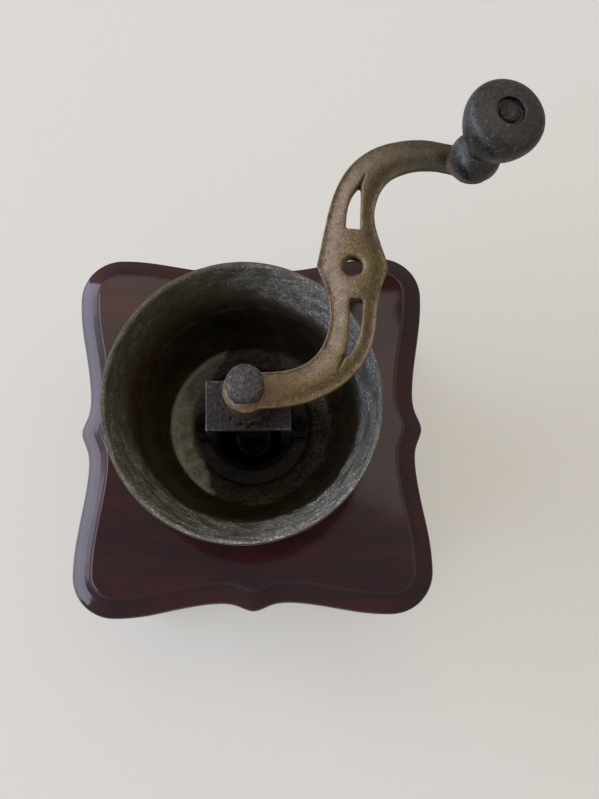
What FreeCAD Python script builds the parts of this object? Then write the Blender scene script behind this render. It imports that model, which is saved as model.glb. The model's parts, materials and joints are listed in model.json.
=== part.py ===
import FreeCAD, Part
import math
import os
from FreeCAD import Placement, Rotation, Vector

# Box coffee mill. Origin on the table under the shaft, +Z up, drawer towards -Y. All sizes in mm.

# Boards
board_width = 168.0
board_depth = 174.6
top_thickness = 18.0
base_thickness = 16.0
base_set_in = 5.0
corner_radius = 20.0
hollow_depth = 6.0
hollow_place = 19.0
point_depth = 2.4
cove_width = 10.2
cove_depth = 5.2
base_cove_depth = 4.6
step_width = 1.7
step_depth = 1.9
nose_round = 1.6
under_round = 3.0
felt_thickness = 2.0
felt_set_in = 12.0

# Box
case_width = 128.0
case_height = 76.0
wall_thickness = 10.0
wall_chamfer = 1.5
rail_thickness = 10.0
glue_block = 12.0
runner_width = 9.0
runner_height = 8.0

# Drawer
drawer_front_height = 41.0
drawer_front_thickness = 12.0
drawer_wall_height = 29.0
drawer_wall_thickness = 8.0
drawer_bottom_thickness = 4.0
drawer_length = 116.0
drawer_play = 0.6
drawer_end_play = 2.0
drawer_floor_play = 0.3
drawer_groove = 4.0
drawer_edge = 2.0
drawer_knob_radius = 8.0
drawer_knob_length = 17.0
drawer_knob_bite = 11.5
screw_end_play = 0.3

# Hopper bowl
rim_radius = 60.0
bowl_height = 60.0
lip_drop = 22.0
lip_radius = 47.5
bowl_wall = 4.0
shoulder_radius = 37.0
shoulder_height = 9.0
shoulder_inner_height = 4.4
foot_margin = 5.0
foot_thickness = 3.6
foot_round = 1.0
rim_thickness = 1.8
rim_round = 0.2
lip_round = 1.0

# Burr housing, under the top board with its neck up through it
throat_radius = 18.0
neck_wall = 9.0
neck_above = 4.0
neck_chamfer = 3.0
housing_flange_margin = 7.0
housing_flange_thickness = 4.0
housing_margin = 4.0
housing_round = 3.0
housing_drop = 30.0
seat_cone = 2.0

# Burrs
burr_ring_wall = 2.8
outer_burr_height = 22.0
outer_burr_flange = 3.0
burr_low_radius = 19.2
burr_waist_radius = 17.2
burr_mouth_radius = 18.4
burr_waist_height = 9.0
burr_gap = 1.0
inner_burr_height = 24.0
inner_burr_top_radius = 8.5
outer_teeth = 16
inner_teeth = 9
tooth_depth = 1.1
helix_lean = 24.0

# Bridge over the throat and the lower bracket
bridge_width = 21.6
bridge_thickness = 4.0
bridge_height = 51.5
leg_thickness = 4.0
bridge_foot_width = 12.0
bridge_foot_set_in = 0.6
bracket_width = 13.0
bracket_thickness = 3.0
bracket_foot_set_in = 0.5
bracket_drop = 8.0

# Shaft and what is on it
shaft_radius = 5.0
burr_journal_radius = 4.0
lower_journal_radius = 3.5
collar_radius = 7.0
collar_height = 3.0
crank_seat_radius = 4.6
washer_flat = 4.2
crank_flat = 3.3
stud_radius = 3.0
stud_length = 6.5
grind_lift = 1.5
bush_wall = 2.5
bush_flange = 2.5
bush_flange_thickness = 1.5
bush_below = 2.5
lower_bush_wall = 2.0
lower_bush_flange = 1.0
lower_bush_flange_thickness = 0.6
lower_bush_below = 0.5
shaft_below = 1.0
journal_step = 0.5
nut_radius = 11.0
nut_height = 12.5
nut_notches = 14
notch_radius = 1.2
nut_groove_depth = 2.2
nut_groove_height = 2.0
seat_end_play = 0.3
lock_washer_radius = 9.0
lock_washer_thickness = 1.5
spring_radius = 6.6
spring_wire = 0.7
spring_length = 19.0
spring_turns = 5
spring_washer_radius = 9.0
spring_washer_thickness = 1.2
clip_radius = 7.0
clip_thickness = 1.2
clip_groove = 0.9
clip_gap = 5.2
burr_nut_height = 5.0
burr_nut_across = 12.0
burr_washer_radius = 6.5
burr_washer_thickness = 1.0

# Crank
crank_radius = 135.0
crank_angle = 45.3
arm_half_width = 14.8
shoulder_angle = -5.5
arm_thickness = 7.0
arm_edge = 1.9
hub_radius = 9.2
hub_height = 15.0
boss_radius = 9.8
boss_foot_radius = 6.8
boss_height = 8.0
hole_radius = 4.4
cap_radius = 7.5
cap_height = 11.5
cap_dome = 1.2
cap_flat = 6.4
cap_bore_play = 0.2
edge_break = 1.0

# Knob
knob_lean = 9.5
bead_radius = 10.5
bead_height = 11.2
neck_waist_radius = 7.0
neck_waist_rise = 2.5
ball_radius = 16.0
ball_equator = 35.4
knob_top_rise = 7.9
knob_top_radius = 7.3
recess_radius = 5.6
recess_depth = 2.4
knob_pin_radius = 3.0
pin_head_radius = 4.2
pin_head_height = 1.5
pin_tail_radius = 4.6
pin_tail_height = 1.6

# Fasteners
wood_screw_radius = 1.9
wood_screw_head = 3.8
wood_screw_head_height = 2.2
hopper_screw_length = 14.0
housing_screw_length = 13.0
base_screw_length = 30.0
bridge_screw_length = 12.0
bracket_screw_length = 16.0
machine_screw_radius = 2.0
machine_screw_head = 3.6
machine_screw_head_height = 2.4
screw_slot = 0.9
head_play = 0.2

# Clearances
running_play = 0.05
face_play = 0.1
fit_play = 0.05

# Levels worked out from the sizes above
base_low = felt_thickness
base_high = base_low + base_thickness
board_low = base_high + case_height
board_high = board_low + top_thickness
neck_high = board_high + neck_above
housing_low = board_low - housing_drop
outer_burr_low = housing_low - outer_burr_flange
inner_burr_low = outer_burr_low
inner_burr_high = inner_burr_low + inner_burr_height
bracket_foot_low = outer_burr_low - bracket_thickness
bracket_low = bracket_foot_low - bracket_drop
bridge_high = board_high + bridge_height
bridge_low = bridge_high - bridge_thickness
nut_low = bridge_high + bush_flange_thickness + face_play
nut_high = nut_low + nut_height
washer_low = nut_high + face_play
washer_high = washer_low + lock_washer_thickness
hub_low = washer_high + face_play
hub_high = hub_low + hub_height
arm_low = hub_high - arm_thickness
spring_high = bridge_low - bush_below
spring_low = spring_high - spring_length
clip_low = spring_low - spring_washer_thickness - clip_thickness
half_width = case_width / 2
half_depth = (drawer_length + drawer_end_play + wall_thickness) / 2
case_inside = half_width - wall_thickness
drawer_low = base_high + drawer_floor_play
drawer_half = case_inside - drawer_play
rail_low = drawer_low + drawer_front_height + drawer_play
drawer_back = drawer_length - half_depth
knob_height = ball_equator + knob_top_rise

# Radii worked out from the sizes above
neck_radius = throat_radius + neck_wall
hopper_screw_circle = shoulder_radius + bowl_wall + foot_round + wood_screw_head + head_play
foot_radius = hopper_screw_circle + foot_margin
bracket_screw_circle = burr_low_radius + bracket_thickness + machine_screw_head + head_play
burr_seat_radius = burr_low_radius + burr_ring_wall
housing_radius = bracket_screw_circle + housing_margin
housing_screw_circle = housing_radius + housing_round + wood_screw_head + head_play
housing_flange_radius = housing_screw_circle + housing_flange_margin
bridge_screw_circle = throat_radius + neck_wall / 2
bridge_foot_reach = neck_radius - bridge_foot_set_in

os.makedirs("parts", exist_ok=True)


def block(x_low, x_high, y_low, y_high, z_low, z_high):
    return Part.makeBox(x_high - x_low, y_high - y_low, z_high - z_low, Vector(x_low, y_low, z_low))


def rod(radius, low, high, x=0.0, y=0.0):
    return Part.makeCylinder(radius, high - low, Vector(x, y, low))


def tube(outer, inner, low, high):
    return rod(outer, low, high).cut(rod(inner, low, high))


def path(start, moves):
    """One point is a straight run, two are an arc through the first, more are a smooth curve."""
    edges = []
    here = start
    for move in moves:
        if len(move) == 1:
            edges.append(Part.makeLine(here, move[0]))
        elif len(move) == 2:
            edges.append(Part.Arc(here, move[0], move[1]).toShape())
        else:
            curve = Part.BSplineCurve()
            curve.interpolate([here] + list(move))
            edges.append(curve.toShape())
        here = move[-1]
    if here.distanceToPoint(start) > 1e-6:
        edges.append(Part.makeLine(here, start))
    return Part.Wire(edges)


def turned(start, moves):
    """A solid turned round the Z axis from a profile of (radius, height) points."""
    wire = path(Vector(start[0], 0, start[1]), [[Vector(r, 0, z) for r, z in move] for move in moves])
    return Part.Face(wire).revolve(Vector(0, 0, 0), Vector(0, 0, 1), 360)


def ring_places(radius, count, first_angle):
    angles = [math.radians(first_angle + 360.0 * index / count) for index in range(count)]
    return [(radius * math.cos(angle), radius * math.sin(angle)) for angle in angles]


def head_up_screw(head_radius, head_height, shank_radius, length):
    """Round head on a shank below it, with a slot; the head's seat is at height 0."""
    head = turned((0, 0), [
        [(head_radius, 0)],
        [(head_radius * 0.8, head_height * 0.68), (head_radius * 0.42, head_height * 0.94), (0, head_height)],
    ])
    slot = block(-head_radius, head_radius, -screw_slot / 2, screw_slot / 2, head_height * 0.55, head_height + 1)
    tip = shank_radius * 1.5
    shank = turned((0, 0), [[(shank_radius, 0)], [(shank_radius, tip - length)], [(0, -length)]])
    return head.cut(slot).fuse(shank).removeSplitter()


def sunk_screw(head_radius, shank_radius, length):
    """Countersunk screw whose flat head lies in the plane of height 0, pointing down."""
    tip = shank_radius * 1.5
    body = turned((0, 0), [
        [(head_radius, 0)],
        [(shank_radius, shank_radius - head_radius)],
        [(shank_radius, tip - length)],
        [(0, -length)],
    ])
    slot = block(-head_radius, head_radius, -screw_slot / 2, screw_slot / 2, -screw_slot, 1)
    return body.cut(slot)


def placed(shape, x, y, z, upside_down=False):
    turn = Rotation(Vector(1, 0, 0), 180 if upside_down else 0)
    copy = shape.copy()
    copy.Placement = Placement(Vector(x, y, z), turn)
    return copy


def screw_holes(shape, places, radius, low, high):
    for x, y in places:
        shape = shape.cut(rod(radius, low, high, x, y))
    return shape


# Scalloped boards

def board_outline(inset, corner, height):
    """Oblong with round corner lobes, hollowed sides and a small point in the middle of each side."""
    halves = (board_width / 2 - inset, board_depth / 2 - inset)
    flank = hollow_place * 0.42
    swing = corner * math.sqrt(0.5)
    edges = []
    for quarter in range(4):
        lobe = halves[quarter % 2] - corner
        half = halves[(quarter + 1) % 2]
        side = [
            (-lobe, 0),
            (-(lobe + hollow_place) / 2, -hollow_depth * 0.42),
            (-hollow_place, -hollow_depth),
            (-flank, -(hollow_depth * 0.72 + point_depth * 0.28)),
            (0, -point_depth),
        ]
        side += [(-along, depth) for along, depth in reversed(side[:-1])]
        turn = Rotation(Vector(0, 0, 1), -90 * quarter)
        points = [turn.multVec(Vector(along, half + depth, height)) for along, depth in side]
        along_side = turn.multVec(Vector(1, 0, 0))
        curve = Part.BSplineCurve()
        curve.interpolate(Points=points, InitialTangent=along_side, FinalTangent=along_side)
        edges.append(curve.toShape())
        middle = turn.multVec(Vector(lobe + swing, half - corner + swing, height))
        end = turn.multVec(Vector(lobe + corner, half - corner, height))
        edges.append(Part.Arc(points[-1], middle, end).toShape())
    return Part.Wire(edges)


def moulded_board(set_in, thickness, low, cove_height):
    """Board with a rounded lower edge, a nose, a gentle slope up from it and a step to a raised field."""
    slope_foot = thickness - cove_height
    slope_top = thickness - step_depth
    slope_width = cove_width - step_width - nose_round
    sections = [(under_round, 0), (under_round * 0.3, under_round * 0.3), (0, under_round)]
    sections += [(0, slope_foot - nose_round), (nose_round * 0.3, slope_foot - nose_round * 0.3)]
    for along, up in ((0, 0), (0.33, 0.4), (0.67, 0.74), (1, 1)):
        sections.append((nose_round + slope_width * along, slope_foot + (slope_top - slope_foot) * up))
    sections.append((cove_width - step_width * 0.2, thickness - step_depth * 0.12))
    sections.append((cove_width, thickness))
    wires = [board_outline(set_in + inset, corner_radius - inset, low + height) for inset, height in sections]
    return Part.makeLoft(wires, True, True)


def top_board():
    board = moulded_board(0, top_thickness, board_low, cove_depth)
    board = board.cut(rod(neck_radius + fit_play, board_low - 1, board_high + 1))
    pilot = wood_screw_radius + fit_play
    board = screw_holes(board, hopper_screw_places(), pilot, board_high - hopper_screw_length, board_high + 1)
    reach = board_low + housing_screw_length - housing_flange_thickness
    return screw_holes(board, housing_screw_places(), pilot, board_low - 1, reach)


def base_board():
    board = moulded_board(base_set_in, base_thickness, base_low, base_cove_depth)
    for place in base_screw_places():
        board = board.cut(placed(sunk_screw_shape(fit_play), place[0], place[1], base_low, True))
    return board


def felt_sheet():
    wire = board_outline(felt_set_in, corner_radius - felt_set_in / 2, 0)
    return Part.Face(wire).extrude(Vector(0, 0, felt_thickness))


# Box

def base_screw_places():
    middle = half_width - wall_thickness / 2
    along = (half_depth - wall_thickness) * 0.7
    return [(middle * side, along * end) for side in (-1, 1) for end in (-1, 1)]


def sunk_screw_shape(play):
    tip = (wood_screw_radius + play) * 1.5
    shank = wood_screw_radius + play
    head = wood_screw_head + play
    return turned((0, 0), [
        [(head, 0)],
        [(shank, shank - head)],
        [(shank, tip - base_screw_length)],
        [(0, -base_screw_length - play)],
    ])


def base_screws():
    screw = sunk_screw(wood_screw_head, wood_screw_radius, base_screw_length)
    return Part.makeCompound([placed(screw, x, y, base_low, True) for x, y in base_screw_places()])


def side_wall(side):
    """Side wall, full depth, with its outer upright edges chamfered."""
    low_x, high_x = sorted((side * case_inside, side * half_width))
    wall = block(low_x, high_x, -half_depth, half_depth, base_high, board_low)
    upright = [
        edge for edge in wall.Edges
        if abs(edge.BoundBox.ZLength - case_height) < 0.01 and abs(edge.BoundBox.Center.x - side * half_width) < 0.01
    ]
    wall = wall.makeChamfer(wall_chamfer, upright)
    for x, y in base_screw_places():
        if x * side > 0:
            wall = wall.cut(placed(sunk_screw_shape(fit_play), x, y, base_low, True))
    return wall


def back_wall():
    return block(-case_inside, case_inside, half_depth - wall_thickness, half_depth, base_high, board_low)


def front_rail():
    """Rail over the drawer, with a small chamfer along its lower front edge."""
    rail = block(-case_inside, case_inside, -half_depth, rail_thickness - half_depth, rail_low, board_low)
    lower_front = [
        edge for edge in rail.Edges
        if abs(edge.BoundBox.Center.z - rail_low) < 0.01 and abs(edge.BoundBox.Center.y + half_depth) < 0.01
    ]
    return rail.makeChamfer(wall_chamfer, lower_front)


def glue_blocks():
    """Three-sided blocks in the upper corners of the box, clear of the burr housing's flange."""
    blocks = []
    inner_y = {-1: half_depth - rail_thickness, 1: half_depth - wall_thickness}
    for side in (-1, 1):
        for end in (-1, 1):
            corner = Vector(side * case_inside, end * inner_y[end], board_low)
            along_x = corner - Vector(side * glue_block, 0, 0)
            along_y = corner - Vector(0, end * glue_block, 0)
            face = Part.Face(Part.makePolygon([corner, along_x, along_y, corner]))
            blocks.append(face.extrude(Vector(0, 0, -glue_block * 1.5)))
    return Part.makeCompound(blocks)


def drawer_runner(side):
    """Strip on the side wall over the drawer's side, which keeps the open drawer from tipping."""
    low_x, high_x = sorted((side * case_inside, side * (case_inside - runner_width)))
    low = drawer_low + drawer_wall_height + drawer_floor_play
    front = rail_thickness - half_depth + drawer_front_thickness
    return block(low_x, high_x, front, half_depth - wall_thickness, low, low + runner_height)


# Drawer

def drawer_front():
    front = block(
        -drawer_half, drawer_half, -half_depth, drawer_front_thickness - half_depth,
        drawer_low, drawer_low + drawer_front_height,
    )
    face_edges = [edge for edge in front.Edges if abs(edge.BoundBox.Center.y + half_depth) < 0.01]
    front = front.makeChamfer(drawer_edge, face_edges)
    middle = drawer_low + drawer_front_height / 2
    hole = Part.makeCylinder(
        wood_screw_radius + fit_play, drawer_front_thickness + 2, Vector(0, -half_depth - 1, middle), Vector(0, 1, 0)
    )
    return front.cut(hole).cut(drawer_panel(fit_play))


def drawer_panel(play):
    """Bottom panel, let into grooves in the front, the back and the sides."""
    half = drawer_half - drawer_wall_thickness + drawer_groove
    front = drawer_front_thickness - half_depth - drawer_groove
    back = drawer_back - drawer_wall_thickness + drawer_groove
    low = drawer_low + drawer_groove
    return block(
        -half - play, half + play, front - play, back + play, low - play, low + drawer_bottom_thickness + play
    )


def drawer_bottom():
    return drawer_panel(0)


def drawer_side(side):
    low_x, high_x = sorted((side * drawer_half, side * (drawer_half - drawer_wall_thickness)))
    wall = block(
        low_x, high_x, drawer_front_thickness - half_depth, drawer_back, drawer_low, drawer_low + drawer_wall_height
    )
    return wall.cut(drawer_panel(fit_play))


def drawer_back_wall():
    half = drawer_half - drawer_wall_thickness
    wall = block(
        -half, half, drawer_back - drawer_wall_thickness, drawer_back, drawer_low, drawer_low + drawer_wall_height
    )
    return wall.cut(drawer_panel(fit_play))


def drawer_knob():
    """Turned wooden knob, drawn along +Z and then laid to point out of the drawer's front."""
    length = drawer_knob_length
    radius = drawer_knob_radius
    knob = turned((0, 0), [
        [(radius * 0.72, 0)],
        [(radius * 0.72, length * 0.12)],
        [
            (radius * 0.44, length * 0.3),
            (radius * 0.66, length * 0.46),
            (radius, length * 0.7),
            (radius * 0.7, length * 0.93),
            (0, length),
        ],
    ])
    pilot = rod(wood_screw_radius + fit_play, -1, drawer_knob_bite + screw_end_play)
    knob = knob.cut(pilot)
    knob.Placement = Placement(
        Vector(0, -half_depth, drawer_low + drawer_front_height / 2), Rotation(Vector(1, 0, 0), 90)
    )
    return knob


def drawer_knob_screw():
    length = drawer_front_thickness + drawer_knob_bite
    screw = head_up_screw(wood_screw_head, wood_screw_head_height, wood_screw_radius, length)
    screw.Placement = Placement(
        Vector(0, drawer_front_thickness - half_depth, drawer_low + drawer_front_height / 2),
        Rotation(Vector(1, 0, 0), -90),
    )
    return screw


# Hopper bowl

def hopper_screw_places():
    return ring_places(hopper_screw_circle, 4, 45)


def hopper_bowl():
    """Cast bowl: foot flange, sloped shoulder round the throat, steep wall and a wide conical lip."""
    base = board_high
    rim = base + bowl_height
    lip = rim - lip_drop
    shoulder = base + shoulder_height
    inner_edge = base + shoulder_inner_height
    bore = neck_radius + fit_play
    wall_foot = shoulder_radius + bowl_wall
    belly = 0.62 * lip_radius + 0.38 * shoulder_radius
    belly_height = 0.62 * shoulder + 0.38 * lip
    bowl = turned((bore, base), [
        [(foot_radius, base)],
        [(foot_radius, base + foot_thickness)],
        [(wall_foot + foot_round, base + foot_thickness)],
        [(wall_foot, shoulder)],
        [(belly + bowl_wall, belly_height), (lip_radius + bowl_wall * 0.9, lip)],
        [(rim_radius, rim - rim_thickness)],
        [(rim_radius + rim_round, rim - rim_thickness / 2), (rim_radius - rim_thickness / 2, rim)],
        [(rim_radius - rim_thickness, rim - rim_round)],
        [(lip_radius, lip)],
        [(lip_radius - lip_round * 0.3, lip - lip_round)],
        [(belly, belly_height), (shoulder_radius, shoulder)],
        [(bore + foot_round, inner_edge)],
        [(bore, inner_edge - foot_round)],
    ])
    return screw_holes(bowl, hopper_screw_places(), wood_screw_radius + fit_play, base - 1, base + foot_thickness + 1)


def hopper_screws():
    screw = head_up_screw(wood_screw_head, wood_screw_head_height, wood_screw_radius, hopper_screw_length)
    seat = board_high + foot_thickness
    return Part.makeCompound([placed(screw, x, y, seat) for x, y in hopper_screw_places()])


# Burr housing and burrs

def housing_screw_places():
    return ring_places(housing_screw_circle, 4, 0)


def bridge_screw_places():
    return [(side * bridge_screw_circle, 0) for side in (-1, 1)]


def bracket_screw_places():
    return [(0, end * bracket_screw_circle) for end in (-1, 1)]


def burr_housing():
    """Cast housing: neck through the top board, flange under it, seat for the outer burr below."""
    seat_high = housing_low + outer_burr_height
    housing = turned((throat_radius, neck_high - neck_chamfer), [
        [(throat_radius + neck_chamfer, neck_high)],
        [(neck_radius, neck_high)],
        [(neck_radius, board_low)],
        [(housing_flange_radius, board_low)],
        [(housing_flange_radius, board_low - housing_flange_thickness)],
        [(housing_radius + housing_round, board_low - housing_flange_thickness)],
        [(housing_radius, board_low - housing_flange_thickness - housing_round)],
        [(housing_radius, housing_low)],
        [(burr_seat_radius, housing_low)],
        [(burr_seat_radius, seat_high)],
        [(throat_radius, seat_high + seat_cone)],
    ])
    hole = wood_screw_radius + fit_play
    tapped = machine_screw_radius + fit_play
    low = board_low - housing_flange_thickness - 1
    housing = screw_holes(housing, housing_screw_places(), hole, low, board_low + 1)
    housing = screw_holes(housing, bridge_screw_places(), tapped, neck_high - bridge_screw_length, neck_high + 1)
    thread_end = bracket_foot_low + bracket_screw_length
    return screw_holes(housing, bracket_screw_places(), tapped, housing_low - 1, thread_end)


def housing_screws():
    screw = head_up_screw(wood_screw_head, wood_screw_head_height, wood_screw_radius, housing_screw_length)
    seat = board_low - housing_flange_thickness
    return Part.makeCompound([placed(screw, x, y, seat, True) for x, y in housing_screw_places()])


def tooth_cutter(depth, length):
    """Three-sided bar along Z whose edge stands out towards +X by the tooth depth."""
    corners = [(-depth * 2, -depth * 2.4), (depth, 0), (-depth * 2, depth * 2.4), (-depth * 2, -depth * 2.4)]
    wire = Part.makePolygon([Vector(x, y, 0) for x, y in corners])
    return Part.Face(wire).extrude(Vector(0, 0, length))


def outer_burr():
    """Ring burr with a flange below and leaning grooves along its inner cone."""
    low = outer_burr_low
    waist = low + burr_waist_height
    high = housing_low + outer_burr_height
    seat = burr_seat_radius - fit_play
    ring = turned((burr_low_radius, low), [
        [(housing_radius, low)],
        [(housing_radius, housing_low)],
        [(seat, housing_low)],
        [(seat, high)],
        [(burr_mouth_radius, high)],
        [(burr_waist_radius, waist)],
    ])
    for index in range(outer_teeth):
        cutter = tooth_cutter(tooth_depth, outer_burr_height * 1.6)
        cutter.rotate(Vector(0, 0, 0), Vector(1, 0, 0), helix_lean)
        cutter.translate(Vector(burr_waist_radius, 0, low - outer_burr_height * 0.2))
        cutter.rotate(Vector(0, 0, 0), Vector(0, 0, 1), 360.0 * index / outer_teeth)
        ring = ring.cut(cutter)
    hole = machine_screw_radius + fit_play
    return screw_holes(ring, bracket_screw_places(), hole, low - 1, housing_low + 1)


def inner_burr():
    """Cone burr on the shaft with leaning teeth cut round it."""
    low = inner_burr_low
    high = inner_burr_high
    low_radius = burr_low_radius - burr_gap
    waist_radius = burr_waist_radius - burr_gap * 1.6
    cone = turned((burr_journal_radius + fit_play, low), [
        [(low_radius, low)],
        [(waist_radius, low + burr_waist_height)],
        [(inner_burr_top_radius, high)],
        [(burr_journal_radius + fit_play, high)],
    ])
    slope = math.degrees(math.atan2(low_radius - inner_burr_top_radius, inner_burr_height))
    for index in range(inner_teeth):
        cutter = tooth_cutter(tooth_depth * 1.5, inner_burr_height * 1.7)
        cutter.rotate(Vector(0, 0, 0), Vector(0, 0, 1), 180)
        cutter.rotate(Vector(0, 0, 0), Vector(1, 0, 0), -helix_lean)
        cutter.rotate(Vector(0, 0, 0), Vector(0, 1, 0), -slope)
        cutter.translate(Vector(low_radius, 0, low))
        cutter.rotate(Vector(0, 0, 0), Vector(0, 0, 1), 360.0 * index / inner_teeth)
        cone = cone.cut(cutter)
    return cone


def hexagon(across, low, high):
    points = [Vector(x, y, low) for x, y in ring_places(across / math.sqrt(3), 6, 0)]
    return Part.Face(Part.makePolygon(points + points[:1])).extrude(Vector(0, 0, high - low))


def burr_washer():
    high = inner_burr_low
    return tube(burr_washer_radius, burr_journal_radius + fit_play, high - burr_washer_thickness, high)


def burr_nut():
    high = inner_burr_low - burr_washer_thickness
    nut = hexagon(burr_nut_across, high - burr_nut_height, high)
    return nut.cut(rod(burr_journal_radius + fit_play, high - burr_nut_height - 1, high + 1))


# Bridge and bracket

def strap(outline_points, width):
    """Flat bar bent along a path in the XZ plane, given as a closed outline."""
    wire = Part.makePolygon([Vector(x, -width / 2, z) for x, z in outline_points])
    return Part.Face(wire).extrude(Vector(0, width, 0))


def bridge():
    """Iron arch over the throat: plate on two legs with turned-out feet."""
    half = throat_radius
    inner = half - leg_thickness
    foot_high = neck_high + leg_thickness
    foot = bridge_foot_reach
    outline = [
        (-foot, neck_high), (-inner, neck_high), (-inner, bridge_low), (inner, bridge_low),
        (inner, neck_high), (foot, neck_high), (foot, foot_high), (half, foot_high),
        (half, bridge_high), (-half, bridge_high), (-half, foot_high), (-foot, foot_high), (-foot, neck_high),
    ]
    arch = strap(outline, bridge_width)
    waist = (bridge_width - bridge_foot_width) / 2
    span = foot * 2 + 2
    for side in (-1, 1):
        edge = side * bridge_width / 2
        near, far = sorted((edge, edge - side * waist))
        trim_low = neck_high - 1
        arch = arch.cut(block(-span / 2, span / 2, near, far, trim_low, foot_high + waist))
    round_end = rod(foot, neck_high - 1, bridge_high + 1)
    arch = arch.common(round_end)
    arch = arch.cut(rod(shaft_radius + bush_wall, bridge_low - 1, bridge_high + 1))
    return screw_holes(arch, bridge_screw_places(), machine_screw_radius + fit_play, neck_high - 1, foot_high + 1)


def bridge_screws():
    screw = head_up_screw(machine_screw_head, machine_screw_head_height, machine_screw_radius, bridge_screw_length)
    seat = neck_high + leg_thickness
    return Part.makeCompound([placed(screw, x, y, seat) for x, y in bridge_screw_places()])


def upper_bush():
    """Bronze bush pressed in the bridge plate from above."""
    outer = shaft_radius + bush_wall - fit_play
    bore = shaft_radius + running_play
    low = bridge_low - bush_below
    flange = outer + bush_flange
    return turned((bore, low), [
        [(outer, low)],
        [(outer, bridge_high)],
        [(flange, bridge_high)],
        [(flange, bridge_high + bush_flange_thickness)],
        [(bore, bridge_high + bush_flange_thickness)],
    ])


def lower_bracket():
    """Dropped strap under the burrs that carries the shaft's lower bush."""
    foot = housing_radius - bracket_foot_set_in
    wall = bracket_thickness
    drop = burr_low_radius + wall
    outline = [
        (-foot, outer_burr_low), (-foot, bracket_foot_low), (-drop, bracket_foot_low), (-drop, bracket_low),
        (drop, bracket_low), (drop, bracket_foot_low), (foot, bracket_foot_low), (foot, outer_burr_low),
        (drop - wall, outer_burr_low), (drop - wall, bracket_low + wall), (wall - drop, bracket_low + wall),
        (wall - drop, outer_burr_low), (-foot, outer_burr_low),
    ]
    bar = strap(outline, bracket_width)
    bar.rotate(Vector(0, 0, 0), Vector(0, 0, 1), 90)
    bar = bar.cut(rod(lower_journal_radius + lower_bush_wall, bracket_low - 1, bracket_low + wall + 1))
    return screw_holes(
        bar, bracket_screw_places(), machine_screw_radius + fit_play, bracket_foot_low - 1, outer_burr_low + 1
    )


def bracket_screws():
    screw = head_up_screw(machine_screw_head, machine_screw_head_height, machine_screw_radius, bracket_screw_length)
    return Part.makeCompound([placed(screw, x, y, bracket_foot_low, True) for x, y in bracket_screw_places()])


def lower_bush():
    outer = lower_journal_radius + lower_bush_wall - fit_play
    bore = lower_journal_radius + running_play
    low = bracket_low - lower_bush_below
    seat = bracket_low + bracket_thickness
    return turned((bore, low), [
        [(outer, low)],
        [(outer, seat)],
        [(outer + lower_bush_flange, seat)],
        [(outer + lower_bush_flange, seat + lower_bush_flange_thickness)],
        [(bore, seat + lower_bush_flange_thickness)],
    ])


# Spindle

def flatted(radius, half_flat, low, high):
    """Round bar with two flats facing +Y and -Y."""
    return rod(radius, low, high).common(block(-radius, radius, -half_flat, half_flat, low, high))


def shaft():
    """Turned shaft: lower journal, burr seat, collar, body, two lengths with flats, and a stud."""
    foot = bracket_low - shaft_below
    journal_high = bracket_low + bracket_thickness + lower_bush_flange_thickness * 2
    washer_flats = nut_high - grind_lift - face_play
    body = turned((0, foot), [
        [(lower_journal_radius, foot)],
        [(lower_journal_radius, journal_high)],
        [(burr_journal_radius, journal_high + journal_step)],
        [(burr_journal_radius, inner_burr_high)],
        [(collar_radius, inner_burr_high)],
        [(collar_radius, inner_burr_high + collar_height)],
        [(shaft_radius, inner_burr_high + collar_height + edge_break)],
        [(shaft_radius, clip_low)],
        [(shaft_radius - clip_groove, clip_low)],
        [(shaft_radius - clip_groove, clip_low + clip_thickness)],
        [(shaft_radius, clip_low + clip_thickness)],
        [(shaft_radius, washer_flats)],
        [(0, washer_flats)],
    ])
    body = body.fuse(flatted(shaft_radius, washer_flat, washer_flats, hub_low))
    body = body.fuse(flatted(crank_seat_radius, crank_flat, hub_low, hub_high - seat_end_play))
    stud = rod(stud_radius, hub_high - seat_end_play, hub_high + stud_length)
    return body.fuse(stud).removeSplitter()


def spring_clip():
    """Open ring snapped in the shaft's groove."""
    ring = tube(clip_radius, shaft_radius - clip_groove + fit_play, clip_low, clip_low + clip_thickness)
    gap = block(0, clip_radius + 1, -clip_gap / 2, clip_gap / 2, clip_low - 1, clip_low + clip_thickness + 1)
    return ring.cut(gap)


def spring_washer():
    return tube(spring_washer_radius, shaft_radius + fit_play, spring_low - spring_washer_thickness, spring_low)


def spring():
    """Open coil spring round the shaft, from its washer up to the bush."""
    height = spring_length - 2 * spring_wire
    helix = Part.makeHelix(height / spring_turns, height, spring_radius)
    profile = Part.Wire(Part.makeCircle(spring_wire, Vector(spring_radius, 0, 0), Vector(0, 1, 0)))
    coil = Part.Wire(helix).makePipeShell([profile], True, True)
    coil.translate(Vector(0, 0, spring_low + spring_wire))
    return coil


def adjusting_nut():
    """Round nut on the shaft's thread, notched all round for the fingers."""
    groove = nut_radius - nut_groove_depth
    nut = turned((shaft_radius + fit_play, nut_low), [
        [(groove, nut_low)],
        [(groove, nut_low + nut_groove_height)],
        [(nut_radius, nut_low + nut_groove_height + edge_break)],
        [(nut_radius, nut_high - edge_break)],
        [(nut_radius - edge_break, nut_high)],
        [(shaft_radius + fit_play, nut_high)],
    ])
    for x, y in ring_places(nut_radius + notch_radius * 0.25, nut_notches, 0):
        nut = nut.cut(rod(notch_radius, nut_low - 1, nut_high + 1, x, y))
    return nut


def lock_washer():
    """Washer keyed to the shaft's flats, so that it turns with the shaft on top of the nut."""
    hole = flatted(shaft_radius + fit_play, washer_flat + fit_play, washer_low - 1, washer_high + 1)
    return rod(lock_washer_radius, washer_low, washer_high).cut(hole)


# Crank

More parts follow.
